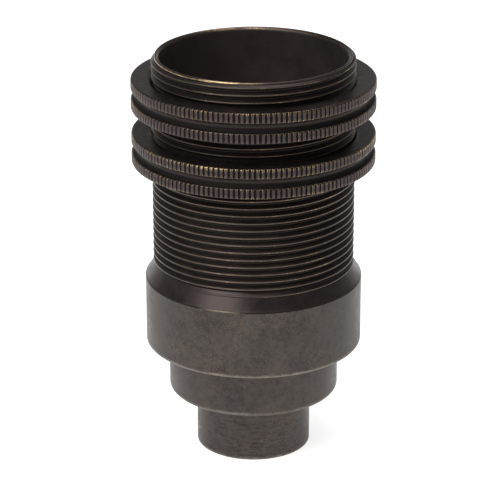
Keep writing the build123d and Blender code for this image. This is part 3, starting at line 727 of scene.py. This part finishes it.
base_mesh = turn([
    (0, BASE_BOTTOM), (SPIGOT_RADIUS - 0.7 * mm, BASE_BOTTOM),
    (SPIGOT_RADIUS, BASE_BOTTOM + 0.7 * mm), (SPIGOT_RADIUS, FLANGE_BOTTOM),
    (FLANGE_RADIUS, FLANGE_BOTTOM), (FLANGE_RADIUS, FLANGE_TOP), (BOSS_RADIUS, FLANGE_TOP),
    (BOSS_RADIUS, BASE_TOP), (0, BASE_TOP),
], 96)
base_cuts = []
for side in (-1, 1):
    near = (LIVE_TAB_REACH if side < 0 else TERMINAL_NEAR) - CERAMIC_GAP
    ends = sorted((side * near, side * (TERMINAL_FAR + CERAMIC_GAP)))
    half = TERMINAL_HALF_WIDTH + CERAMIC_GAP
    outside = FLANGE_RADIUS + OVERCUT
    driver_middle = (side * (TERMINAL_MIDDLE + outside) / 2, 0, CLAMP_HEIGHT)
    base_cuts += [
        block((ends[0], -half, TERMINAL_LOW - CERAMIC_GAP), (ends[1], half, BASE_TOP + OVERCUT)),
        upright(WIRE_HOLE, BASE_BOTTOM - OVERCUT, TERMINAL_LOW + OVERCUT, x=side * TERMINAL_MIDDLE),
        bar(DRIVER_HOLE, outside - TERMINAL_MIDDLE, driver_middle, (1, 0, 0)),
    ]
base_cuts.append(
    block((-PIN_NOTCH, PIN_Y - PIN_NOTCH, LEDGE - OVERCUT), (PIN_NOTCH, NOTCH_FAR, LEDGE + 2.05 * mm))
)
for angle in SCREW_ANGLES:
    x, y = round_place(RIVET_CIRCLE, angle)
    base_cuts.append(upright(CUP_SCREW_HOLE, BASE_BOTTOM - OVERCUT, BASE_TOP + OVERCUT, x, y))
    base_cuts.append(upright(SCREW_HEAD_HOLE, BASE_BOTTOM - OVERCUT, BASE_BOTTOM + 2.0 * mm, x, y))
for angle in RIVET_ANGLES[1:]:
    x, y = round_place(RIVET_CIRCLE, angle)
    base_cuts.append(upright(RIVET_END_HOLE, BASE_TOP - 1.0 * mm, BASE_TOP + OVERCUT, x, y))
base_mesh = cut(base_mesh, *base_cuts)
base_piece = finish_piece(
    base_mesh, "terminal_base", bare_ceramic, "ceramic_base", turned=False
)
soften(base_piece, 0.2 * mm)

# ------------------
# Terminals and clamp screws. Two sawn brass blocks with a tab that is riveted under the cup, a
# hole for the wire from below, and a slotted, plated screw from the side that clamps it.

CENTRE_RIVET_X = -5.4 * mm
RIVET_HOLE = 1.05 * mm


def join(*parts):
    """Puts several closed shapes into one mesh."""
    whole = bmesh.new()
    for part in parts:
        mesh = bpy.data.meshes.new("part")
        part.to_mesh(mesh)
        part.free()
        whole.from_mesh(mesh)
        bpy.data.meshes.remove(mesh)
    return whole


def points_in(geom):
    """The points among what an operator has made."""
    return [item for item in geom if isinstance(item, bmesh.types.BMVert)]


def terminal_block(side):
    """An L-shaped bar, extruded across its width, with its holes drilled."""
    near, far = TERMINAL_NEAR, TERMINAL_FAR
    reach = LIVE_TAB_REACH if side < 0 else TERMINAL_NEAR
    tab_low = BASE_TOP - TAB_THICKNESS
    outline = [(near, TERMINAL_LOW), (far, TERMINAL_LOW), (far, BASE_TOP), (reach, BASE_TOP)]
    if reach < near:
        outline += [(reach, tab_low), (near, tab_low)]
    bm = bmesh.new()
    face = bm.faces.new([bm.verts.new((side * x, -TERMINAL_HALF_WIDTH, z)) for x, z in outline])
    made = bmesh.ops.extrude_face_region(bm, geom=[face])["geom"]
    move(bm, (0, 2 * TERMINAL_HALF_WIDTH, 0), points_in(made))
    face_out(bm)
    rivet_x = CENTRE_RIVET_X if side < 0 else RIVET_CIRCLE
    holes = [
        upright(RIVET_HOLE, tab_low - OVERCUT, BASE_TOP + OVERCUT, x=rivet_x),
        upright(1.5 * mm, TERMINAL_LOW - OVERCUT, tab_low - 0.6 * mm, x=side * TERMINAL_MIDDLE),
        bar(1.35 * mm, 4 * mm, (side * (TERMINAL_MIDDLE + 2 * mm), 0, CLAMP_HEIGHT), (1, 0, 0)),
    ]
    if side > 0:
        holes.append(upright(RIVET_END_HOLE, TERMINAL_LOW - OVERCUT, tab_low, x=rivet_x))
    return cut(bm, *holes)


plain_brass = bare_metal("plain_brass", (0.83, 0.62, 0.3, 1), (0.42, 0.27, 0.12, 1), 0.26, 0.55)

for wire, side in (("live", -1), ("neutral", 1)):
    terminal = finish_piece(
        terminal_block(side), f"{wire}_block", plain_brass, f"{wire}_terminal",
        turned=False,
    )
    soften(terminal, 0.15 * mm)

CLAMP_RADIUS = 1.3 * mm
CLAMP_HEAD_RADIUS = 2.1 * mm
CLAMP_POINT = TERMINAL_MIDDLE + 0.75 * mm
CLAMP_SEAT = TERMINAL_FAR + 0.6 * mm
CLAMP_TOP = TERMINAL_FAR + 2.2 * mm

clamp_screws = []
for side in (-1, 1):
    clamp = slotted_screw(CLAMP_RADIUS, CLAMP_HEAD_RADIUS, CLAMP_POINT, CLAMP_SEAT, CLAMP_TOP)
    clamp_screws.append(lay_along(clamp, (side, 0, 0), (0, 0, CLAMP_HEIGHT)))
finish_piece(join(*clamp_screws), "clamp_screws", plated_screws, "terminal_screws")

# ------------------
# Ceramic socket. A white glazed cup round the lamp's thread, with rounded edges. It sits on the
# base and is held by two screws from below, whose nuts lie in its floor.

cup_low, cup_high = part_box("ceramic_socket")
CUP_BOTTOM = cup_low.z
CUP_TOP = cup_high.z
CUP_RADIUS = cup_high.x
CUP_BORE = 14.1 * mm
CUP_FLOOR = 43.44 * mm
CUP_EDGE = 0.7 * mm
NUT_BOTTOM = CUP_FLOOR - 2.25 * mm
NUT_POCKET = 2.95 * mm

glazed_ceramic = ceramic(
    "glazed_ceramic", (0.8, 0.78, 0.72, 1), (0.62, 0.57, 0.48, 1), 0.35, 0.3, 0.9, 0.008 * mm
)

cup_mesh = turn([
    (0, CUP_BOTTOM), (CUP_RADIUS, CUP_BOTTOM), (CUP_RADIUS, CUP_TOP), (CUP_BORE, CUP_TOP),
    (CUP_BORE, CUP_FLOOR), (0, CUP_FLOOR),
], 160)
for radius, height in ((CUP_RADIUS, CUP_BOTTOM), (CUP_RADIUS, CUP_TOP), (CUP_BORE, CUP_TOP)):
    round_rim(cup_mesh, radius, height, CUP_EDGE, 5)
cup_cuts = []
above = CUP_FLOOR + OVERCUT
for x, y in [round_place(RIVET_CIRCLE, angle) for angle in RIVET_ANGLES] + [(CENTRE_RIVET_X, 0)]:
    cup_cuts.append(upright(RIVET_HOLE, CUP_BOTTOM - OVERCUT, above, x, y, 24))
for angle in SCREW_ANGLES:
    x, y = round_place(RIVET_CIRCLE, angle)
    cup_cuts.append(upright(CUP_SCREW_HOLE, CUP_BOTTOM - OVERCUT, above, x, y, 24))
    cup_cuts.append(upright(NUT_POCKET, NUT_BOTTOM - 0.02 * mm, above, x, y, 6))
cup_mesh = cut(cup_mesh, *cup_cuts)
finish_piece(
    cup_mesh, "socket_cup", glazed_ceramic, "ceramic_socket", turned=False
)

# ------------------
# Cup screws and nuts. Two long plated slotted screws, put in from below with their heads in the
# base, and their hexagon nuts in pockets in the cup's floor.

SCREW_SEAT = BASE_BOTTOM + 1.98 * mm
SCREW_POINT = NUT_BOTTOM + 2.15 * mm
NUT_RADIUS = 2.885 * mm
NUT_HEIGHT = 2.2 * mm
NUT_BORE = 1.56 * mm

cup_screws = []
cup_nuts = []
for angle in SCREW_ANGLES:
    x, y = round_place(RIVET_CIRCLE, angle)
    screw = slotted_screw(1.5 * mm, 2.6 * mm, -SCREW_POINT, -SCREW_SEAT, -(SCREW_SEAT - 1.7 * mm))
    cup_screws.append(lay_along(screw, (0, 0, -1), (x, y, 0)))
    nut = upright(NUT_RADIUS, NUT_BOTTOM, NUT_BOTTOM + NUT_HEIGHT, x, y, 6)
    rim = [edge for edge in nut.edges if abs(edge.verts[0].co.z - edge.verts[1].co.z) < 0.001 * mm]
    bevel(nut, rim, 0.25 * mm, 1)
    cup_nuts.append(cut(nut, upright(NUT_BORE, NUT_BOTTOM - OVERCUT, above, x, y)))
finish_piece(join(*cup_screws), "cup_screws", plated_screws, "ceramic_screws")
finish_piece(
    join(*cup_nuts), "cup_nuts", plated_screws, "ceramic_nuts", turned=False
)

# ------------------
# Screw shell. Thin brass sheet drawn into a cup and rolled with the lamp's round thread, with a
# plain lip at the top and a flanged floor for its three rivets.

shell_low, shell_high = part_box("screw_shell")
SHELL_BOTTOM = shell_low.z
SHELL_TOP = shell_high.z
SHELL_SHEET = 0.35 * mm
SHELL_MIDDLE = 12.8 * mm
SHELL_HOLE = 9.4 * mm
LAMP_DEPTH = 1.1 * mm
LAMP_PITCH = 3.629 * mm
LAMP_TOP = SHELL_BOTTOM + SHELL_SHEET + 5 * LAMP_PITCH
THREAD_WELD = 0.004 * mm
FADE_TURNS = 0.6


def screw_thread(profile, pitch, front_crest, low, high, steps):
    """An open helical skin that covers two heights, from one pitch of outline centred on a crest.

    front_crest is where a crest comes at the front, and the thread is right-handed.
    """
    bm = bmesh.new()
    first = front_crest - int((front_crest - low) / pitch + 3) * pitch
    corners = [bm.verts.new((0, -radius, first + height)) for radius, height in profile]
    sides = [bm.edges.new(pair) for pair in zip(corners, corners[1:])]
    bmesh.ops.spin(
        bm, geom=corners + sides, cent=(0, 0, 0), axis=UP, dvec=UP * pitch / steps,
        angle=tau, steps=steps, use_merge=False,
    )
    one_turn = bm.verts[:] + bm.edges[:] + bm.faces[:]
    for number in range(1, int((high - first) / pitch) + 2):
        copy = bmesh.ops.duplicate(bm, geom=one_turn)["geom"]
        move(bm, UP * pitch * number, points_in(copy))
    weld(bm, THREAD_WELD)
    return bm


def trim(bm, low, high):
    """Cuts a skin off flat at two heights."""
    for height, direction in ((low, -UP), (high, UP)):
        everything = bm.verts[:] + bm.edges[:] + bm.faces[:]
        bmesh.ops.bisect_plane(
            bm, geom=everything, dist=0.0001 * mm, plane_co=UP * height, plane_no=direction,
            clear_outer=True,
        )
    weld(bm, THREAD_WELD)


def rim_at(bm, height, wider_than=0.0):
    """The open edges at one height, further out than a radius."""
    ends = {
        vert
        for vert in bm.verts
        if abs(vert.co.z - height) < 0.01 * mm and vert.co.xy.length > wider_than
    }
    return [edge for edge in bm.edges if edge.is_boundary and ends.issuperset(edge.verts)]


def carry(bm, rim, *stops):
    """Extrudes a rim through a row of circles of (radius, height) and returns the last one."""
    for radius, height in stops:
        made = bmesh.ops.extrude_edge_only(bm, edges=rim)["geom"]
        for vert in points_in(made):
            ratio = radius / vert.co.xy.length
            vert.co = (vert.co.x * ratio, vert.co.y * ratio, height)
        rim = [item for item in made if isinstance(item, bmesh.types.BMEdge) and item.is_boundary]
    return rim


wave = []
for step in range(17):
    share = step / 16 - 0.5
    wave.append((SHELL_MIDDLE + LAMP_DEPTH / 2 * cos(tau * share), share * LAMP_PITCH))
wave_low = SHELL_BOTTOM + 0.9 * mm
wave_high = LAMP_TOP + 0.6 * mm
shell_mesh = screw_thread(wave, LAMP_PITCH, LAMP_TOP - 4.4 * LAMP_PITCH, wave_low, wave_high, 96)
for vert in shell_mesh.verts:
    radius = vert.co.xy.length
    from_end = min(vert.co.z - wave_low, wave_high - vert.co.z) / LAMP_PITCH
    fade = min(max(from_end, 0), FADE_TURNS) / FADE_TURNS
    wanted = SHELL_MIDDLE + (radius - SHELL_MIDDLE) * fade
    vert.co = (vert.co.x * wanted / radius, vert.co.y * wanted / radius, vert.co.z)
trim(shell_mesh, wave_low, wave_high)
floor_height = SHELL_BOTTOM + SHELL_SHEET
carry(
    shell_mesh, rim_at(shell_mesh, wave_high),
    (SHELL_MIDDLE, wave_high + 0.5 * mm), (SHELL_MIDDLE + 0.05 * mm, SHELL_TOP - 0.3 * mm),
    (SHELL_MIDDLE + 0.1 * mm, SHELL_TOP),
)
carry(
    shell_mesh, rim_at(shell_mesh, wave_low),
    (SHELL_MIDDLE, floor_height + 0.4 * mm), (SHELL_MIDDLE - 0.12 * mm, floor_height + 0.12 * mm),
    (SHELL_MIDDLE - 0.4 * mm, floor_height), (SHELL_HOLE, floor_height),
)
face_out(shell_mesh)
floor_face = min(shell_mesh.faces, key=lambda face: face.calc_center_median().z)
if floor_face.normal.z < 0:
    bmesh.ops.reverse_faces(shell_mesh, faces=shell_mesh.faces[:])
bmesh.ops.solidify(shell_mesh, geom=shell_mesh.faces[:], thickness=SHELL_SHEET)
face_out(shell_mesh)
shell_brass = bare_metal("shell_brass", (0.8, 0.6, 0.31, 1), (0.36, 0.22, 0.1, 1), 0.3, 0.75, 2500.0)
finish_piece(shell_mesh, "lamp_shell", shell_brass, "screw_shell")

# ------------------
# Rivets. Turned brass, headed over at both ends: three hold the shell on the cup, and one holds
# the contact leaf. The shell's first rivet and the leaf's also hold a terminal's tab below.

RIVET_RADIUS = 1.0 * mm
RIVET_HEAD = 1.45 * mm
RIVET_HEAD_HEIGHT = 0.7 * mm


def rivet(x, y, grip_low, grip_high):
    """A rivet with a low domed head at each end of its grip."""
    low, high = grip_low - RIVET_HEAD_HEIGHT, grip_high + RIVET_HEAD_HEIGHT
    bm = turn([
        (0, low), (RIVET_HEAD * 0.5, low + 0.06 * mm), (RIVET_HEAD * 0.85, low + 0.25 * mm),
        (RIVET_HEAD, low + 0.5 * mm), (RIVET_HEAD, grip_low), (RIVET_RADIUS, grip_low),
        (RIVET_RADIUS, grip_high), (RIVET_HEAD, grip_high), (RIVET_HEAD, high - 0.5 * mm),
        (RIVET_HEAD * 0.85, high - 0.25 * mm), (RIVET_HEAD * 0.5, high - 0.06 * mm), (0, high),
    ], 32)
    move(bm, (x, y, 0))
    return bm


rivets = []
for angle in RIVET_ANGLES:
    tab = TAB_THICKNESS if angle == 0 else 0
    x, y = round_place(RIVET_CIRCLE, angle)
    rivets.append(rivet(x, y, BASE_TOP - tab - 0.02 * mm, SHELL_BOTTOM + SHELL_SHEET + 0.02 * mm))
finish_piece(join(*rivets), "shell_rivet_set", plain_brass, "shell_rivets")
leaf_rivet = rivet(CENTRE_RIVET_X, 0, BASE_TOP - TAB_THICKNESS - 0.02 * mm, CUP_FLOOR + 0.49 * mm)
finish_piece(leaf_rivet, "leaf_rivet", plain_brass, "centre_contact_rivet")

# ------------------
# Contact leaf and button. A strip of springy bronze, bent twice, riveted to the cup's floor at its
# foot. A domed brass button is headed into its tip, and the lamp presses both down.

leaf_low, leaf_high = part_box("centre_contact_leaf")
LEAF_SHEET = 0.45 * mm
LEAF_HALF_WIDTH = 2.5 * mm
RAMP_START = -3.8 * mm
RAMP_END = -1.4 * mm
LEAF_RISE = 3.3 * mm
BUTTON_STEM = 0.9 * mm
BUTTON_RADIUS = 2.0 * mm

phosphor_bronze = bare_metal(
    "phosphor_bronze", (0.72, 0.45, 0.27, 1), (0.33, 0.17, 0.09, 1), 0.25, 0.5, 5000.0
)

leaf_mesh = bmesh.new()
route = [(leaf_low.x, 0), (RAMP_START, 0), (RAMP_END, LEAF_RISE), (leaf_high.x, LEAF_RISE)]
foot = [
    leaf_mesh.verts.new((x, -LEAF_HALF_WIDTH, leaf_low.z + height + LEAF_SHEET / 2))
    for x, height in route
]
bends = [leaf_mesh.edges.new(pair) for pair in zip(foot, foot[1:])]
swept = bmesh.ops.extrude_edge_only(leaf_mesh, edges=bends)["geom"]
move(leaf_mesh, (0, 2 * LEAF_HALF_WIDTH, 0), points_in(swept))
creases = [edge for edge in leaf_mesh.edges if len(edge.link_faces) == 2]
bevel(leaf_mesh, creases, 0.7 * mm, 5)
face_out(leaf_mesh)
if leaf_mesh.faces[:][0].normal.z < 0:
    bmesh.ops.reverse_faces(leaf_mesh, faces=leaf_mesh.faces[:])
bmesh.ops.solidify(leaf_mesh, geom=leaf_mesh.faces[:], thickness=LEAF_SHEET)
move(leaf_mesh, UP * LEAF_SHEET / 2)
face_out(leaf_mesh)
leaf_mesh = cut(
    leaf_mesh,
    upright(RIVET_HOLE, leaf_low.z - OVERCUT, leaf_low.z + OVERCUT, x=CENTRE_RIVET_X),
    upright(BUTTON_STEM + 0.05 * mm, leaf_high.z - OVERCUT, leaf_high.z + OVERCUT),
)
leaf = finish_piece(
    leaf_mesh, "contact_leaf", phosphor_bronze, "centre_contact_leaf", body=None,
    turned=False,
)
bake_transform(leaf, "cap", "centre_contact", start=(RAMP_START, 0, leaf_low.z), end=(RAMP_END, 0, leaf_low.z))

button_low, button_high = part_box("centre_contact_button")
BUTTON_SEAT = leaf_high.z + 0.02 * mm
button_mesh = turn([
    (0, button_low.z), (BUTTON_STEM, button_low.z), (BUTTON_STEM, BUTTON_SEAT),
    (BUTTON_RADIUS, BUTTON_SEAT),
    (BUTTON_RADIUS, button_high.z), (0, button_high.z),
], 48)
round_rim(button_mesh, BUTTON_RADIUS, button_high.z, 0.8 * mm, 6)
finish_piece(
    button_mesh, "contact_button", plain_brass, "centre_contact_button",
    body="centre_contact",
)

# ------------------
# Fibre washer. A ring punched from red vulcanised fibre. The skirt presses it on the insert's
# flange, so that metal doesn't bear on ceramic.

ring_low, ring_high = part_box("fibre_washer")
WASHER_OUTER = ring_high.x
WASHER_INNER = WASHER_OUTER - 1.7 * mm

red_fibre, shader, position, _ = new_material("red_fibre")
fibres = clouds(position, 900.0, 6.0, 0.7)
patches = clouds(shifted(position, (0.3, 0.3, 0.1)), 240.0, 4.0)
strand = mix(ramp(fibres, 0.35, 0.65), (0.2, 0.03, 0.02, 1), (0.36, 0.07, 0.045, 1))
soiled = mix(ramp(patches, 0.55, 0.8, 0.0, 0.6), strand, (0.09, 0.03, 0.025, 1))
feed(shader, {"Base Color": soiled, "Roughness": ramp(fibres, 0.3, 0.7, 0.6, 0.8)})
emboss(shader, fibres, 0.03 * mm)

fibre_mesh = tube(WASHER_INNER, WASHER_OUTER, ring_low.z, ring_high.z, 96)
finish_piece(fibre_mesh, "fibre_ring", red_fibre, "fibre_washer")

# ------------------
# Threaded skirt. Turned and bored from brass tube: a joint thread that goes into the cap, a cone
# over the cap's rim, and a long thread up to the open mouth. Bronzed almost black.

skirt_low, skirt_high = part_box("threaded_skirt")
MOUTH = skirt_high.z
SKIRT_BOTTOM = skirt_low.z
SEAT = CAP_TOP + 0.02 * mm
CREST_RADIUS = 19.95 * mm
ROOT_RADIUS = 19.1 * mm
BORE_RADIUS = 18.45 * mm
SKIRT_PITCH = 1.5 * mm
CONE_TOP = SEAT + 3.8 * mm
MOUTH_RADIUS = 19.3 * mm
LIP_BOTTOM = MOUTH - 0.42 * mm
FRONT_CREST = 49.3 * mm
JOINT_CREST = 19.65 * mm
JOINT_ROOT = 19.15 * mm
JOINT_PITCH = 1.0 * mm
JOINT_TOP = SEAT - JOINT_PITCH
THREAD_STEPS = 144


def ridge(crest, root, pitch, flat):
    """One pitch of V thread, centred on its crest, with a rounded crest and root."""
    depth = crest - root
    flank = depth * 0.577
    half = [
        (crest, flat * 0.28), (crest - depth * 0.035, flat * 0.5),
        (crest - depth * 0.13, flat * 0.5 + flank * 0.13),
        (crest - depth * 0.5, flat * 0.5 + flank * 0.5),
        (crest - depth * 0.93, flat * 0.5 + flank * 0.95), (root, flat * 0.5 + flank * 1.2),
    ]
    lower = [(radius, -height) for radius, height in half[::-1]]
    return [(root, -pitch / 2), *lower, *half, (root, pitch / 2)]


barrel = screw_thread(
    ridge(CREST_RADIUS, ROOT_RADIUS, SKIRT_PITCH, 0.24 * mm), SKIRT_PITCH, FRONT_CREST, SEAT, MOUTH,
    THREAD_STEPS,
)
cone_slope = (BODY_RADIUS - ROOT_RADIUS) / (CONE_TOP - SEAT)
for vert in barrel.verts:
    radius = vert.co.xy.length
    on_cone = ROOT_RADIUS + (CONE_TOP - vert.co.z) * cone_slope
    on_mouth = MOUTH_RADIUS + max(MOUTH - vert.co.z, 0)
    wanted = min(max(radius, on_cone), on_mouth)
    vert.co = (vert.co.x * wanted / radius, vert.co.y * wanted / radius, vert.co.z)
CONE_JOIN = SEAT + 1.6 * mm
trim(barrel, CONE_JOIN, LIP_BOTTOM)
joint = screw_thread(
    ridge(JOINT_CREST, JOINT_ROOT, JOINT_PITCH, 0.2 * mm), JOINT_PITCH, SEAT, SKIRT_BOTTOM, JOINT_TOP,
    THREAD_STEPS,
)
trim(joint, SKIRT_BOTTOM + 0.1 * mm, JOINT_TOP)
skirt_mesh = join(barrel, joint)
cone_end = carry(
    skirt_mesh, rim_at(skirt_mesh, CONE_JOIN),
    (BODY_RADIUS - 0.26 * mm, SEAT + 0.4 * mm), (BODY_RADIUS - 0.06 * mm, SEAT + 0.1 * mm),
    (BODY_RADIUS, SEAT + 0.04 * mm),
    (BODY_RADIUS, SEAT + 0.01 * mm), (BODY_RADIUS - 0.03 * mm, SEAT), (JOINT_ROOT, SEAT),
)
bmesh.ops.bridge_loops(skirt_mesh, edges=cone_end + rim_at(skirt_mesh, JOINT_TOP))
bore_end = carry(
    skirt_mesh, rim_at(skirt_mesh, LIP_BOTTOM),
    (MOUTH_RADIUS, LIP_BOTTOM + 0.06 * mm), (MOUTH_RADIUS, MOUTH - 0.2 * mm),
    (MOUTH_RADIUS - 0.04 * mm, MOUTH - 0.11 * mm), (MOUTH_RADIUS - 0.11 * mm, MOUTH - 0.04 * mm),
    (MOUTH_RADIUS - 0.2 * mm, MOUTH), (BORE_RADIUS + 0.48 * mm, MOUTH),
    (BORE_RADIUS + 0.4 * mm, MOUTH - 0.03 * mm),
    (BORE_RADIUS + 0.06 * mm, MOUTH - 0.36 * mm), (BORE_RADIUS, MOUTH - 0.46 * mm),
    (BORE_RADIUS, MOUTH - 0.9 * mm), (BORE_RADIUS, SKIRT_BOTTOM + 0.5 * mm),
    (BORE_RADIUS, SKIRT_BOTTOM + 0.1 * mm), (BORE_RADIUS + 0.1 * mm, SKIRT_BOTTOM),
    (JOINT_ROOT - 0.1 * mm, SKIRT_BOTTOM),
)
joint_foot = rim_at(skirt_mesh, SKIRT_BOTTOM + 0.1 * mm, BORE_RADIUS + 0.05 * mm)
bmesh.ops.bridge_loops(skirt_mesh, edges=bore_end + joint_foot)
face_out(skirt_mesh)

bronzed_skirt = bronzed_brass(
    "bronzed_skirt", dark=(0.03, 0.0222, 0.0212, 1), light=(0.056, 0.0425, 0.0395, 1),
    brown=(0.052, 0.034, 0.026, 1), rubbed=(0.105, 0.08, 0.067, 1), roughness=0.35,
)
# The bore's copy of the skirt's bronzing is matter, and its lighter colours are painted light inside the
# mouth.
matt_bore_painted_lighter = bronzed_brass(
    "bronzed_bore_painted_lighter", dark=(0.05, 0.038, 0.038, 1), light=(0.075, 0.06, 0.058, 1),
    brown=(0.07, 0.05, 0.042, 1), rubbed=(0.1, 0.078, 0.066, 1), roughness=0.6,
)
mark_edges(skirt_mesh)
wear_rim(skirt_mesh, LIP_BOTTOM, MOUTH + 1 * mm, 0.9, toward=-16, spread=24)
wear_rim(skirt_mesh, LIP_BOTTOM, MOUTH + 1 * mm, 0.35, toward=180, spread=110)
wear_rim(skirt_mesh, SEAT - 0.1 * mm, SEAT + 0.2 * mm, 1.3, toward=-17, spread=12)
wear_rim(skirt_mesh, SEAT - 0.1 * mm, SEAT + 0.2 * mm, -1.1)
# The bore's faces take that lighter copy, painted light.
for face in skirt_mesh.faces:
    face.material_index = face.calc_center_median().xy.length < BORE_RADIUS + 0.03 * mm
skirt = finish_piece(
    skirt_mesh, "skirt", bronzed_skirt, "threaded_skirt", body="skirt", smooth=50
)
skirt.data.materials.append(matt_bore_painted_lighter)

# ------------------
# Shade rings. Two alike, turned from brass with two straight-knurled beads and a smooth cove
# between them, and a thread in the bore. Bronzed, with the knurling rubbed bright by handling.

KNURLS = 150
KNURL_DEPTH = 0.3 * mm
BEAD = 2.0 * mm
COVE_DEPTH = 1.1 * mm
RING_CHAMFER = 0.3 * mm
RING_BORE_CREST = 20.01 * mm
RING_BORE_ROOT = 20.6 * mm
# how far round and how deep the points of one knurl are, as shares of its pitch and depth
KNURL_SHAPE = ((0.03, 0.2), (0.1, 0.0), (0.28, 0.0), (0.46, 0.0), (0.53, 0.2), (0.67, 1.0), (0.89, 1.0))
KNURL_POINTS = len(KNURL_SHAPE)

bronzed_rings = bronzed_brass(
    "bronzed_rings", dark=(0.023, 0.0172, 0.0168, 1), light=(0.052, 0.0405, 0.0385, 1),
    brown=(0.054, 0.034, 0.025, 1), rubbed=(0.074, 0.0575, 0.052, 1), roughness=0.38, wear=(1.05, 2.2),
    polish=(0.15, 0.7), patchiness=0.85, grain=0.5,
)


def shade_ring(node, body, seed, worn):
    """Builds one ring at its CAD node's place, with this much wear on its upper edge."""
    low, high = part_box(node)
    bottom, top, outer = low.z, high.z, high.x
    middle = (bottom + top) / 2
    bead = [
        (outer - RING_CHAMFER, bottom), (outer - 0.15 * mm, bottom + 0.06 * mm),
        (outer - 0.04 * mm, bottom + 0.18 * mm), (outer, bottom + RING_CHAMFER + 0.05 * mm),
        (outer, bottom + 0.5 * BEAD), (outer, bottom + BEAD - 0.28 * mm),
        (outer - 0.04 * mm, bottom + BEAD - 0.14 * mm),
        (outer - 0.16 * mm, bottom + BEAD - 0.02 * mm),
    ]
    cove = []
    for step in range(1, 12):
        angle = pi * step / 12
        half = (middle - bottom - BEAD + 0.02 * mm) * cos(angle)
        cove.append((outer - 0.16 * mm - (COVE_DEPTH - 0.16 * mm) * sin(angle), middle - half))
    mirrored = [(radius, bottom + top - height) for radius, height in bead[::-1]]
    bore = ring_threads(RING_BORE_CREST, RING_BORE_ROOT, bottom + 0.4 * mm, top - 0.4 * mm, SKIRT_PITCH)
    inner = RING_BORE_ROOT + 0.1 * mm
    face_outer, face_inner = outer - RING_CHAMFER - 0.3 * mm, inner + 0.3 * mm
    outline = [*bead, *cove, *mirrored, (face_outer, top), (face_inner, top), (inner, top)]
    outline += [*bore[::-1], (inner, bottom), (face_inner, bottom), (face_outer, bottom)]
    bm = turn(outline, KNURLS * KNURL_POINTS)
    chance = Random(seed)
    depths = [chance.uniform(0.8, 1.08) for _ in range(KNURLS)]
    shifts = [chance.uniform(-0.04, 0.04) for _ in range(KNURLS)]
    step_angle = tau / (KNURLS * KNURL_POINTS)
    for vert in bm.verts:
        radius = vert.co.xy.length
        if radius < inner + 0.05 * mm:
            continue
        number = round(atan2(vert.co.y, vert.co.x) % tau / step_angle) % (KNURLS * KNURL_POINTS)
        tooth, point = divmod(number, KNURL_POINTS)
        share, depth = KNURL_SHAPE[point]
        angle = (tooth + share + shifts[tooth]) * tau / KNURLS
        if min(abs(vert.co.z - bottom), abs(vert.co.z - top)) < BEAD - 0.01 * mm:
            radius = min(radius, outer - KNURL_DEPTH * depth * depths[tooth])
        vert.co = (radius * cos(angle), radius * sin(angle), vert.co.z)
    face_out(bm)
    mark_edges(bm)
    layer = bm.verts.layers.float["edge"]
    # The cove is marked as a hollow, so its colour is darkened as painted shade, the lower half more than the
    # upper.
    for vert in bm.verts:
        in_cove = abs(vert.co.z - middle) < middle - bottom - BEAD - 0.1 * mm
        if in_cove and vert.co.xy.length > outer - COVE_DEPTH - 0.1 * mm:
            vert[layer] = -0.3 if vert.co.z < middle else -0.12
    wear_rim(bm, top - 0.5 * mm, top + 1 * mm, worn, toward=-10, spread=150)
    finish_piece(bm, body, bronzed_rings, node, body=body)


shade_ring("upper_shade_ring", "upper_ring", seed=4, worn=0.1)
shade_ring("lower_shade_ring", "lower_ring", seed=9, worn=0.4)

# ------------------
# Floor, light and camera. A white light table that runs out of view, a soft light above, a soft
# lamp high on the left of the front, and a white backdrop with the room darker in front.

floor_mesh = bmesh.new()
bmesh.ops.create_grid(floor_mesh, x_segments=1, y_segments=1, size=4)
floor = as_object(floor_mesh, "floor")
pale = bpy.data.materials.new("pale_floor")
pale.use_nodes = True
pale_shader = pale.node_tree.nodes["Principled BSDF"]
feed(pale_shader, {
    "Base Color": (0.85, 0.85, 0.85, 1), "Roughness": 0.9, "Specular IOR Level": 0.0,
    "Emission Color": (1, 1, 1, 1), "Emission Strength": 0.77,
})
floor.data.materials.append(pale)

CAMERA_ELEVATION = radians(21.2)
CAMERA_DISTANCE = 0.4918
CAMERA_LENS = 177.5
AIM = Vector((-0.0007, 0, 0.501 * MOUTH))


def face_aim(holder):
    """Turns a light or the camera towards the object."""
    holder.rotation_euler = (AIM - holder.location).to_track_quat("-Z", "Y").to_euler()


def softbox(name, azimuth, elevation, distance, size, power):
    """A square soft light; azimuth is in degrees round from the camera, to its right."""
    data = bpy.data.lights.new(name, "AREA")
    data.size = size
    data.energy = power
    light = bpy.data.objects.new(name, data)
    bpy.context.scene.collection.objects.link(light)
    around, up = radians(azimuth), radians(elevation)
    light.location = AIM + distance * Vector((sin(around) * cos(up), -cos(around) * cos(up), sin(up)))
    face_aim(light)


softbox("overhead", 0, 74, 1.2, 0.8, 3.2)
softbox("key", -43, 45, 0.7, 0.42, 2.35)
softbox("back", 160, 68, 0.8, 0.4, 1.3)

world = bpy.data.worlds.new("studio")
bpy.context.scene.world = world
world.use_nodes = True
sky = world.node_tree
sky.nodes.clear()
_, away, upward = add(sky, "SeparateXYZ", {0: add(sky, "TexCoord").outputs["Generated"]}).outputs
behind = ramp(away, -0.2, 0.6, 0.3, 0.85)
low_down = ramp(upward, 0.0, 0.28, 1.0, 0.0)
strength = maths("ADD", maths("MULTIPLY", behind, low_down), 0.17)
shine = add(sky, "Background", {"Color": (1, 1, 1, 1), "Strength": strength})
add(sky, "OutputWorld", {"Surface": shine.outputs[0]})

camera_data = bpy.data.cameras.new("camera")
camera_data.lens = CAMERA_LENS
camera_data.clip_start = 0.01
camera = bpy.data.objects.new("camera", camera_data)
bpy.context.scene.collection.objects.link(camera)
camera.location = AIM + CAMERA_DISTANCE * Vector((0, -cos(CAMERA_ELEVATION), sin(CAMERA_ELEVATION)))
face_aim(camera)
bpy.context.scene.camera = camera
bpy.context.scene.view_settings.view_transform = "Standard"
